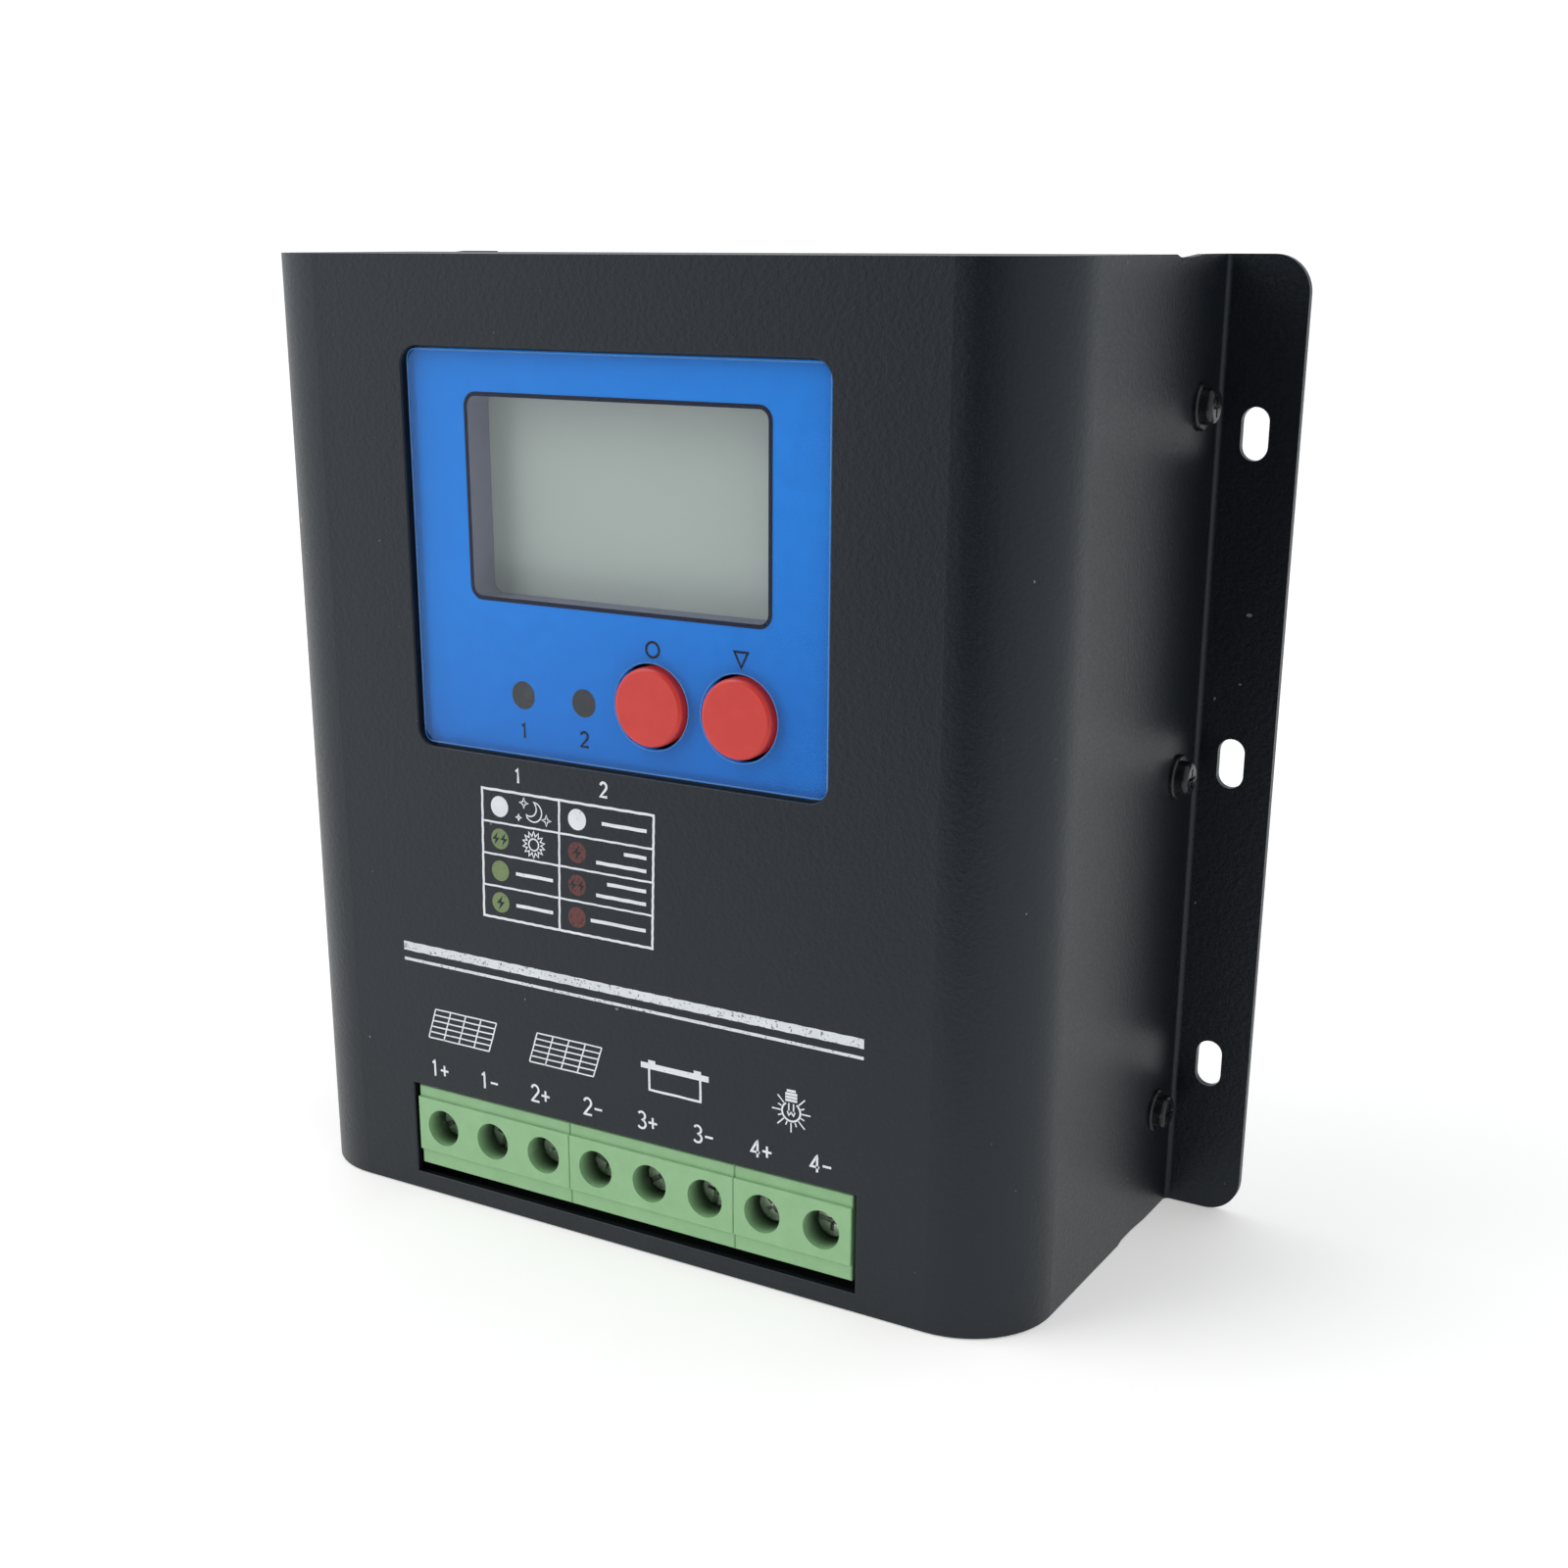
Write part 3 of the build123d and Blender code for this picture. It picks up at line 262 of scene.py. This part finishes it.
MATERIALS = {
    "powder_coat": powder_coat(),
    "acrylic": clear_acrylic(),
    "blue_print": blue_film(),
    "circuit_board": circuit_board(),
    "black_zinc": plain("black_zinc", (0.006, 0.007, 0.009), (0.014, 0.015, 0.018), 0.26, 400,
                        metallic=0.3, bump=0.00002),
    "aluminium": plain("aluminium", (0.52, 0.53, 0.54), (0.66,) * 3, 0.38, 60, 1.0, 0.00002, (8, 8, 1)),
    "zinc_steel": plain("zinc_steel", (0.62, 0.62, 0.60), (0.80, 0.79, 0.77), 0.22, 300, 1.0, 0.00001),
    "black_plastic": plain("black_plastic", (0.010,) * 3, (0.018,) * 3, 0.5, 500, 0.0, 0.00002),
    "grey_foam": plain("grey_foam", (0.125, 0.138, 0.200), (0.155, 0.170, 0.245), 0.9, 900, 0.0, 0.00006),
    "display_glass": plain("display_glass", (0.415, 0.47, 0.425), (0.425, 0.48, 0.435), 0.5, 9),
    "white_plastic": plain("white_plastic", (0.62, 0.62, 0.58), (0.7, 0.7, 0.66), 0.4, 300),
    "brass": plain("brass", (0.55, 0.40, 0.16), (0.68, 0.5, 0.22), 0.3, 260, 1.0, 0.00001),
    "black_epoxy": plain("black_epoxy", (0.012,) * 3, (0.022,) * 3, 0.6, 700, 0.0, 0.00002),
    "silicone": plain("silicone", (0.24, 0.27, 0.30), (0.3, 0.33, 0.36), 0.7, 500),
    "capacitor_sleeve": plain("capacitor_sleeve", (0.010, 0.012, 0.02), (0.016, 0.02, 0.035), 0.35, 90),
    "fuse_plastic": plain("fuse_plastic", (0.10, 0.42, 0.10), (0.14, 0.5, 0.13), 0.25, 200),
    "resistance_wire": plain("resistance_wire", (0.42, 0.36, 0.30), (0.55, 0.47, 0.4), 0.35, 500, 1.0),
    "clear_lamp": plain("clear_lamp", (0.34, 0.38, 0.44), (0.42, 0.46, 0.52), 0.25, 300,
                        bump=0.000002, Transmission_Weight=0.25, IOR=1.5),
    "red_lamp": plain("red_lamp", (0.17, 0.10, 0.14), (0.21, 0.12, 0.16), 0.2, 300,
                      bump=0.000002, Transmission_Weight=0.25, IOR=1.5),
    "red_plastic": plain("red_plastic", (0.61, 0.030, 0.021), (0.67, 0.039, 0.028), 0.34, 350,
                         bump=0.00001),
    "green_plastic": terminal_plastic(),
}
for part in frame["record"]["subparts"]:
    node = NODES[part["node"]]
    node.data.materials.clear()
    node.data.materials.append(MATERIALS[part["material_slot"]])


# --- Screen print and painted edge highlights -----------------------------------------
WORN = (0.02, 0.021, 0.023)
INK = {
    "white": ink("white_ink", (0.84, 0.87, 0.90), (0.30, 0.31, 0.33), 0.66),
    "title": ink("title_ink", (0.78, 0.81, 0.84), (0.12, 0.12, 0.13), 0.60),
    "green": ink("green_ink", (0.185, 0.255, 0.105), (0.12, 0.17, 0.07)),
    "red": ink("red_ink", (0.135, 0.034, 0.030), WORN, 0.57),
    "navy": ink("navy_ink", (0.002, 0.006, 0.028), (0.004, 0.010, 0.036), gloss=0.0),
    # painted highlight on the acrylic's sawn edges and round its button holes
    "edge_highlight": ink("painted_edge_highlight", (0.10, 0.30, 0.68), (0.06, 0.22, 0.56)),
    "smoke": plain("smoky_film", (0.010, 0.014, 0.022), (0.014, 0.019, 0.029), 0.6, 500,
                   Specular_IOR_Level=0.0, Alpha=0.5),
    "coat": MATERIALS["powder_coat"],
}
# Places and sizes of the print, in mm, in the X and Z of the frame.
LAYER = 0.012 * MM  # height of one layer of ink, in metres
FILM_PRINT_Y = FILM_Y - 0.05 * MM  # print between the film and the acrylic, in metres
LEAN = 0.03  # the table was printed slightly askew
TABLE_X, DIVIDER_X, TABLE_Z, TABLE_ROWS = (-25.0, 6.5), -10.5, (50.5, 71.0), 4
DOT_RADIUS, DOT_INSET, BAR_INSET = 1.65, 3.3, 1.2
SIGN_TOP = 32.7  # upper edge of the signs over the terminals
LABEL_ADVANCE, LABEL_WIDTH, LABEL_HEIGHT, LABEL_WEIGHT, LABEL_FOOT = 1.98, 1.58, 2.72, 0.37, 21.0
HEAD_ADVANCE, HEAD_HEIGHT, HEAD_WEIGHT, HEAD_GAP = 1.9, 2.15, 0.4, 1.6  # numbers over the table
BAR_WEIGHT = 0.55
RULE_X, RULES = 42.0, ((1.5, 42.6), (0.5, 40.4))  # half length; weight and height of each
SIGN, SIGN_WEIGHT, SIGN_GAP = 2.2, 0.37, 2.4  # signs on the film and the gap to their part
WINDOW_SIZE, WINDOW_CORNER, WINDOW_LINE = (51.55, 29.45), 1.8, 0.62  # line round the display
LAMP_WINDOW, BUTTON_HOLE = 2.2, 6.42  # radii
EDGE_INSET = 0.25  # middle of the painted highlight line, from the panel's edge


def arc(x, z, rx, rz, start, end, count=14):
    """Points on an ellipse between two angles in degrees."""
    angles = [math.radians(start + (end - start) * i / count) for i in range(count + 1)]
    return [(x + rx * math.cos(a), z + rz * math.sin(a)) for a in angles]


def ring(x, z, rx, rz=None, count=24):
    return arc(x, z, rx, rz or rx, 0, 360, count)


# Strokes of plain figures and polarity signs: width 0 to 1, height 0 to 1.
GLYPHS = {
    "1": [[(0.22, 0.8), (0.52, 1), (0.52, 0)]],
    "2": [arc(0.48, 0.72, 0.42, 0.28, 165, -35, 9) + [(0.05, 0), (0.97, 0)]],
    "3": [arc(0.46, 0.76, 0.40, 0.24, 150, -90, 9) + arc(0.46, 0.26, 0.46, 0.26, 90, -150, 9)[1:]],
    "4": [[(0.72, 0), (0.72, 1), (0.04, 0.3), (0.96, 0.3)]],
    "+": [[(0, 0.45), (1, 0.45)], [(0.5, 0.12), (0.5, 0.78)]],
    "-": [[(0.05, 0.45), (0.95, 0.45)]],
}
# Plain lightning bolt about its own middle, in mm.
BOLT = [(0.5, 1.5), (-1.0, -0.2), (-0.1, -0.2), (-0.5, -1.5), (1.0, 0.2), (0.1, 0.2)]


def middle_of(name):
    """X and Z in mm of the middle of a node's box."""
    low, high = (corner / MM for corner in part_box(name))
    return (low.x + high.x) / 2, (low.z + high.z) / 2


def side_points(points, closed):
    """Unit offsets to the left of a path at each point, lengthened at its corners."""
    count = len(points)
    runs = []
    for i in range(count if closed else count - 1):
        ax, az = points[i]
        bx, bz = points[(i + 1) % count]
        length = math.hypot(bx - ax, bz - az)
        runs.append(((bx - ax) / length, (bz - az) / length))
    offsets = []
    for i in range(count):
        before = runs[i - 1] if closed or i > 0 else runs[0]
        after = runs[i % len(runs)] if closed or i < count - 1 else runs[-1]
        x, z = before[0] + after[0], before[1] + after[1]
        length = max(math.hypot(x, z), 0.9)
        reach = min(2 / length, 1.7)
        offsets.append((-z / length * reach, x / length * reach))
    return offsets


def finely(points, step):
    """The same path with points no further apart than a step."""
    fine = [points[0]]
    for a, b in zip(points, points[1:]):
        parts = max(1, math.ceil(math.dist(a, b) / step))
        for i in range(1, parts + 1):
            share = i / parts
            fine.append((a[0] + (b[0] - a[0]) * share, a[1] + (b[1] - a[1]) * share))
    return fine


def stroke_print(name, strokes, material="white", y=FRONT_Y, layers=1.0, ragged=0.08):
    """Piece made of printed lines; each stroke is its width and its points, in mm."""
    vertices, faces = [], []
    for index, (width, path) in enumerate(strokes):
        height = (layers + 0.06 * (index % 9)) * LAYER  # crossing strokes lie on one another
        points = finely(path, 0.45) if ragged else list(path)
        closed = math.dist(points[0], points[-1]) < 1e-6
        if closed:
            points = points[:-1]
        first, count = len(vertices), len(points)
        for i, ((x, z), (ox, oz)) in enumerate(zip(points, side_points(points, closed))):
            for side, phase in ((0.5, 1.7), (-0.5, 4.1)):
                wear = 1 + ragged * math.sin(37.7 * (x + phase) + 51.3 * z + 9.1 * i)
                edge = side * width * wear
                for level in (-height, height):
                    vertices.append(((x + ox * edge) * MM, (z + oz * edge) * MM, level))
        for i in range(count if closed else count - 1):
            a, b = first + 4 * i, first + 4 * ((i + 1) % count)
            faces += [(a + 1, a + 3, b + 3, b + 1), (a, b, b + 2, a + 2)]
            faces += [(a, a + 1, b + 1, b), (a + 3, a + 2, b + 2, b + 3)]
        if not closed:
            a, b = first, first + 4 * (count - 1)
            faces += [(a, a + 2, a + 3, a + 1), (b, b + 1, b + 3, b + 2)]
    return print_piece(name, vertices, faces, material, y)


def filled_print(name, outlines, material="white", y=FRONT_Y, layers=1.0):
    """Piece made of flat printed areas with closed outlines, in mm."""
    vertices, faces = [], []
    height = layers * LAYER
    for outline in outlines:
        first, count = len(vertices), len(outline)
        for level in (-height, height):
            vertices += [(x * MM, z * MM, level) for x, z in outline]
        faces.append([first + count + i for i in range(count)])
        faces.append([first + count - 1 - i for i in range(count)])
        for i in range(count):
            after = (i + 1) % count
            faces.append([first + i, first + after, first + count + after, first + count + i])
    return print_piece(name, vertices, faces, material, y)


def print_piece(name, vertices, faces, material, y):
    """Lays a mesh drawn in X and Y on a face of the case, and lets it ride there."""
    mesh = bpy.data.meshes.new(name)
    mesh.from_pydata(vertices, [], faces)
    mesh.validate()
    mesh.transform(Matrix.Translation((0, y, 0)) @ Matrix.Rotation(math.radians(90), 4, "X"))
    mesh.materials.append(INK[material])
    piece = bpy.data.objects.new(name, mesh)
    bpy.context.scene.collection.objects.link(piece)
    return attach(piece, "case")


def line_of(text, x, z, height, advance, width=None, weight=0.24):
    """Strokes of evenly spaced figures and signs in a line that starts at x, with its foot at z."""
    width = width or advance * 0.68
    strokes = []
    for index, letter in enumerate(text):
        left = x + index * advance + (advance - width) / 2
        for points in GLYPHS[letter]:
            strokes.append((weight, [(left + px * width, z + pz * height) for px, pz in points]))
    return strokes


def leaned(strokes):
    middle = sum(TABLE_Z) / 2
    return [(w, [(x + LEAN * (z - middle), z) for x, z in points]) for w, points in strokes]


def leaned_outlines(outlines):
    return [points for _, points in leaned([(0, outline) for outline in outlines])]


def row_middle(row):
    """Height of the middle of one row of the table, counted from its foot."""
    low, high = TABLE_Z
    return low + (row + 0.5) * (high - low) / TABLE_ROWS


def print_table():
    """Legend of the two lamps: a numbered column for each lamp, with plain bars for words."""
    low, high = TABLE_Z
    left, right = TABLE_X
    lines = [
        (0.40, [(left, low), (left, high), (right, high), (right, low), (left, low)]),
        (0.36, [(DIVIDER_X, low), (DIVIDER_X, high)]),
    ]
    for row in range(1, TABLE_ROWS):
        z = low + row * (high - low) / TABLE_ROWS
        lines.append((0.32, [(left, z), (right, z)]))
    stroke_print("legend_grid", leaned(lines), ragged=0.14)
    bars = [
        # end of the column, row, height over the row's middle, length
        (DIVIDER_X, 0, 0, 7), (DIVIDER_X, 1, 0, 7),
        (right, 0, 0, 10), (right, 1, -1, 9), (right, 1, 1, 7),
        (right, 2, -1, 9), (right, 2, 1, 4), (right, 3, 0, 8),
    ]
    strokes = []
    for edge, row, rise, length in bars:
        end, z = edge - BAR_INSET, row_middle(row) + rise
        strokes.append((BAR_WEIGHT, [(end - length, z), (end, z)]))
    stroke_print("legend_bars", leaned(strokes))
    heads = []
    for figure, column in (("1", (left + DIVIDER_X) / 2), ("2", (DIVIDER_X + right) / 2)):
        start = column - HEAD_ADVANCE / 2
        heads += line_of(figure, start, high + HEAD_GAP, HEAD_HEIGHT, HEAD_ADVANCE, weight=HEAD_WEIGHT)
    stroke_print("legend_numbers", heads, ragged=0.0)


def star_points(x, z, outer, inner, count):
    points = []
    for i in range(2 * count):
        radius = inner if i % 2 else outer
        angle = math.radians(90 + 180 * i / count)
        points.append((x + radius * math.cos(angle), z + radius * math.sin(angle)))
    return points + points[:1]


def shifted(shapes, x, z, scale=1.0):
    return [[(x + px * scale, z + pz * scale) for px, pz in shape] for shape in shapes]


def print_lamp_signs():
    """Coloured dots, bolts, moon and sun in the table's cells."""
    green, red = TABLE_X[0] + DOT_INSET, DIVIDER_X + DOT_INSET
    white = [ring(x, row_middle(3), DOT_RADIUS)[:-1] for x in (green, red)]
    filled_print("legend_dots_white", leaned_outlines(white))
    for colour, x, one, two in (("green", green, 0, 2), ("red", red, 2, 1)):
        rings = [ring(x, row_middle(row), DOT_RADIUS)[:-1] for row in range(3)]
        filled_print(f"legend_dots_{colour}", leaned_outlines(rings), colour)
        bolts = shifted([BOLT], x, row_middle(one), 0.8)
        for side in (-0.75, 0.75):
            bolts += shifted([BOLT], x + side, row_middle(two), 0.7)
        filled_print(f"legend_bolts_{colour}", leaned_outlines(bolts), "coat", layers=2)
    x, z = (green + DOT_RADIUS + DIVIDER_X) / 2, row_middle(3)
    moon = arc(x, z, 1.55, 1.55, -140, 90, 14) + arc(x - 0.7, z + 0.5, 1.25, 1.25, 60, -120, 10)
    signs = [(0.22, moon + moon[:1])]
    for aside, rise, outer in ((-1.8, 1.2, 0.85), (-2.8, -1.2, 0.55), (2.4, -1.0, 0.9)):
        signs.append((0.2, star_points(x + aside, z + rise, outer, outer * 0.33, 4)))
    z = row_middle(2)
    signs.append((0.24, ring(x, z, 0.92)))
    signs.append((0.24, star_points(x, z, 2.1, 1.35, 14)))
    stroke_print("legend_moon_and_sun", leaned(signs), ragged=0.0)


def screw_x(number):
    return middle_of(f"terminal_screw_{number}")[0]


def pair_x(pair):
    """Middle of one pair of terminals, counted from 1 at the left."""
    return (screw_x(2 * pair - 1) + screw_x(2 * pair)) / 2


def print_terminal_signs():
    """Sign of each pair of terminals, and each terminal's number and polarity."""
    strokes = []
    slant, height, half, lines = 1.7, 5.1, 6.15, 5
    for pair in (1, 2):
        left, right = pair_x(pair) - half + slant / 2, pair_x(pair) + half + slant / 2
        for i in range(lines):
            x = left + (right - left) * i / (lines - 1)
            strokes.append((0.24, [(x, SIGN_TOP), (x - slant, SIGN_TOP - height)]))
        for i in range(lines + 1):
            z, back = SIGN_TOP - height * i / lines, slant * i / lines
            strokes.append((0.24, [(left - back, z), (right - back, z)]))
    x, lid = pair_x(3), SIGN_TOP - 1.6
    strokes.append((0.38, [(x - 4.6, lid), (x - 4.6, lid - 3.4), (x + 4.6, lid - 3.4), (x + 4.6, lid)]))
    stroke_print("panel_and_battery_signs", strokes, ragged=0.12)
    bars = [[(x - 6.1, lid), (x + 6.1, lid), (x + 6.1, lid + 0.95), (x - 6.1, lid + 0.95)]]
    for post in (x - 4.1, x + 4.1):
        foot, top = lid + 0.95, lid + 1.45
        bars.append([(post - 0.65, foot), (post + 0.65, foot), (post + 0.65, top), (post - 0.65, top)])
    filled_print("battery_sign_bars", bars)
    x, z = pair_x(4), SIGN_TOP - 3.1
    bulb = [(0.3, arc(x, z, 1.55, 1.5, 125, 415, 22))]
    for step in range(13):
        angle = math.radians(135 + 22.5 * step)
        reach = 2.4 if step % 2 else 3.25
        bulb.append((0.22, [(x + r * math.cos(angle), z + r * math.sin(angle)) for r in (1.75, reach)]))
    for step in range(4):
        half = 1.0 if step < 3 else 0.75
        bulb.append((0.40, [(x - half, z + 1.75 + 0.5 * step), (x + half, z + 1.8 + 0.5 * step)]))
    filament = [(-0.65, 0), (-0.4, -0.6), (0, -0.1), (0.4, -0.6), (0.65, 0)]
    bulb.append((0.24, [(x + px, z + pz) for px, pz in filament]))
    for side in (-0.4, 0.4):
        bulb.append((0.24, [(x + side, z + 1.3), (x + side, z + 0.1)]))
    stroke_print("lamp_sign", bulb, ragged=0.0)
    strokes = []
    for number in range(1, 9):
        text = str((number + 1) // 2) + "-+"[number % 2]
        start = screw_x(number) - LABEL_ADVANCE
        strokes += line_of(text, start, LABEL_FOOT, LABEL_HEIGHT, LABEL_ADVANCE, LABEL_WIDTH, LABEL_WEIGHT)
    stroke_print("terminal_numbers", strokes, ragged=0.05)


def rounded_outline(x, z, width, height, radius):
    points = []
    for turn, (sx, sz) in enumerate(((1, 1), (-1, 1), (-1, -1), (1, -1))):
        corner = (x + sx * (width / 2 - radius), z + sz * (height / 2 - radius))
        points += arc(*corner, radius, radius, 90 * turn, 90 * turn + 90, 8)
    return points + points[:1]


def print_title_rules():
    """Two plain lines across the cover, where a title would stand."""
    strokes = [(weight, [(-RULE_X, z), (RULE_X, z)]) for weight, z in RULES]
    stroke_print("title_rules", strokes, "title", ragged=0.04)


def print_film():
    """Signs, window line and lamp windows printed on the blue film."""
    x, z = middle_of("set_button_cap")[0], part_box("set_button_cap")[1].z / MM + SIGN_GAP
    strokes = [(SIGN_WEIGHT, ring(x, z, SIGN / 2))]
    x, z = middle_of("down_button_cap")[0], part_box("down_button_cap")[1].z / MM + SIGN_GAP
    triangle = [(x - SIGN / 2, z + SIGN / 2), (x + SIGN / 2, z + SIGN / 2), (x, z - SIGN / 2)]
    strokes.append((SIGN_WEIGHT, triangle + triangle[:1]))
    lamps = ("charge_lamp", "fault_lamp")
    for figure, lamp in zip("12", lamps):
        start, foot = middle_of(lamp)[0] - SIGN / 2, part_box(lamp)[0].z / MM - SIGN_GAP - SIGN
        strokes += line_of(figure, start, foot, SIGN, SIGN, weight=SIGN_WEIGHT)
    stroke_print("film_signs", strokes, "navy", FILM_PRINT_Y, ragged=0.0)
    window = rounded_outline(*middle_of("lcd_glass"), *WINDOW_SIZE, WINDOW_CORNER)
    stroke_print("film_window_line", [(WINDOW_LINE, window)], "navy", FILM_PRINT_Y, ragged=0.0)
    discs = [ring(*middle_of(lamp), LAMP_WINDOW, count=32)[:-1] for lamp in lamps]
    filled_print("lamp_windows", discs, "smoke", FILM_Y + 0.05 * MM)


def print_edge_highlights():
    """Painted highlight: a pale line where light leaves the sawn edge of the acrylic and its two button
    holes.
    """
    low, high = (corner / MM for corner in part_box("front_panel"))
    width, height = high.x - low.x - 2 * EDGE_INSET, high.z - low.z - 2 * EDGE_INSET
    # painted highlight: pale lines on the acrylic's front face along its edge and round the button holes
    edges = [(0.2, rounded_outline(*middle_of("front_panel"), width, height, 1.5))]
    for cap in ("set_button_cap", "down_button_cap"):
        edges.append((0.12, ring(*middle_of(cap), BUTTON_HOLE, count=48)))
    stroke_print("acrylic_edge_highlight", edges, "edge_highlight", low.y * MM, ragged=0.0)


print_table()
print_lamp_signs()
print_terminal_signs()
print_title_rules()
print_film()
print_edge_highlights()


# --- Floor, light and camera ----------------------------------------------------------
def make_floor():
    """White sheet under and behind the object; it ends a little way in front of it."""
    mesh = bpy.data.meshes.new("floor")
    side, back, front, below = 6.0, 6.0, -0.24, 0.0002  # metres
    corners = [(-side, front, 0), (side, front, 0), (side, back, 0), (-side, back, 0)]
    mesh.from_pydata(corners, [], [(0, 1, 2, 3)])
    floor = bpy.data.objects.new("floor", mesh)
    bpy.context.scene.collection.objects.link(floor)
    floor.location.z = -below
    paper = plain("floor_paper", (0.865, 0.855, 0.84), (0.885, 0.875, 0.86), 0.7, 6,
                  Emission_Color=(1.0, 0.99, 0.97, 1.0), Emission_Strength=0.37)
    mesh.materials.append(paper)


# Plain room: direction in degrees (0 in front, 90 left) and brightness of each side of it.
ROOM = {
    "right wall": (-60, 0.8),
    "dark side": (5, 0.05),
    "window": (45, 1.5),
    "left wall": (90, 1.0),
    "back wall": (150, 0.8),
}
ROOM_TINT = (0.97, 1.0, 1.03)  # daylight
BACKDROP = 1.05  # brightness of the white seen behind the object


def make_world():
    """White studio; the light on the object comes from a plain room, the same at every height."""
    world = bpy.data.worlds.new("studio")
    bpy.context.scene.world = world
    world.use_nodes = True
    nodes, links = world.node_tree.nodes, world.node_tree.links

    def math_node(operation, first, second):
        made = nodes.new("ShaderNodeMath")
        made.operation = operation
        for value, socket in zip((first, second), made.inputs):
            if isinstance(value, bpy.types.NodeSocket):
                links.new(value, socket)
            else:
                socket.default_value = value
        return made.outputs[0]

    parts = nodes.new("ShaderNodeSeparateXYZ")
    links.new(nodes.new("ShaderNodeTexCoord").outputs["Generated"], parts.inputs[0])
    x, y, _ = parts.outputs
    angle = math_node("ARCTAN2", math_node("MULTIPLY", x, -1.0), math_node("MULTIPLY", y, -1.0))
    turn = math_node("ADD", math_node("DIVIDE", angle, 2 * math.pi), 0.5)
    brightest = max(value for _, value in ROOM.values())
    ramp = nodes.new("ShaderNodeValToRGB")
    ramp.color_ramp.interpolation = "EASE"
    elements = ramp.color_ramp.elements
    while len(elements) < len(ROOM):
        elements.new(0.5)
    for element, (degrees, value) in zip(elements, ROOM.values()):
        element.position = (degrees + 180) / 360
        element.color = (*(value / brightest,) * 3, 1)
    links.new(turn, ramp.inputs["Fac"])
    lighting = nodes["Background"]
    lighting.inputs["Color"].default_value = (*ROOM_TINT, 1)
    links.new(math_node("MULTIPLY", ramp.outputs["Color"], brightest), lighting.inputs["Strength"])
    white = nodes.new("ShaderNodeBackground")
    white.inputs["Color"].default_value = (1, 1, 1, 1)
    white.inputs["Strength"].default_value = BACKDROP
    mixed = nodes.new("ShaderNodeMixShader")
    links.new(nodes.new("ShaderNodeLightPath").outputs["Is Camera Ray"], mixed.inputs[0])
    links.new(lighting.outputs[0], mixed.inputs[1])
    links.new(white.outputs[0], mixed.inputs[2])
    links.new(mixed.outputs[0], nodes["World Output"].inputs["Surface"])


CAMERA_PLACE = (0.17102, -0.27350, 0.15048)  # metres
CAMERA_AZIMUTH, CAMERA_PITCH = 31.27, 18.24  # degrees right of the front, and down
CAMERA_LENS, CAMERA_SHIFT = 47.90, (0.01955, 0.09086)  # mm on a 36 mm sensor; share of its width


def make_camera():
    """Camera in the row frame: to the right of the front, a little above, looking down."""
    azimuth, pitch = math.radians(CAMERA_AZIMUTH), math.radians(CAMERA_PITCH)
    forward = Vector((
        -math.sin(azimuth) * math.cos(pitch),
        math.cos(azimuth) * math.cos(pitch),
        -math.sin(pitch),
    ))
    right = Vector((math.cos(azimuth), math.sin(azimuth), 0))
    up = right.cross(forward)
    data = bpy.data.cameras.new("camera")
    data.sensor_width = 36.0
    data.lens = CAMERA_LENS
    data.shift_x, data.shift_y = CAMERA_SHIFT
    data.clip_start, data.clip_end = 0.01, 50.0
    camera = bpy.data.objects.new("camera", data)
    bpy.context.scene.collection.objects.link(camera)
    turn = Matrix((right, up, -forward)).transposed().to_4x4()
    camera.matrix_world = Matrix.Translation(CAMERA_PLACE) @ turn
    bpy.context.scene.camera = camera


KEY_SIZE, KEY_POWER = (0.9, 0.7), 4.0  # metres, watts
KEY_PLACE, KEY_AIM = (-0.75, -0.55, 0.95), (0, 0, 0.07)


def make_lights():
    """Soft key light from high on the left."""
    data = bpy.data.lights.new("key", "AREA")
    data.shape = "RECTANGLE"
    data.size, data.size_y = KEY_SIZE
    data.energy = KEY_POWER
    data.color = (1.0, 0.99, 0.97)
    light = bpy.data.objects.new("key", data)
    bpy.context.scene.collection.objects.link(light)
    light.location = KEY_PLACE
    towards = Vector(KEY_AIM) - light.location
    light.rotation_euler = towards.to_track_quat("-Z", "Y").to_euler()


make_floor()
make_world()
make_lights()
make_camera()
bpy.context.scene.view_settings.view_transform = "Standard"
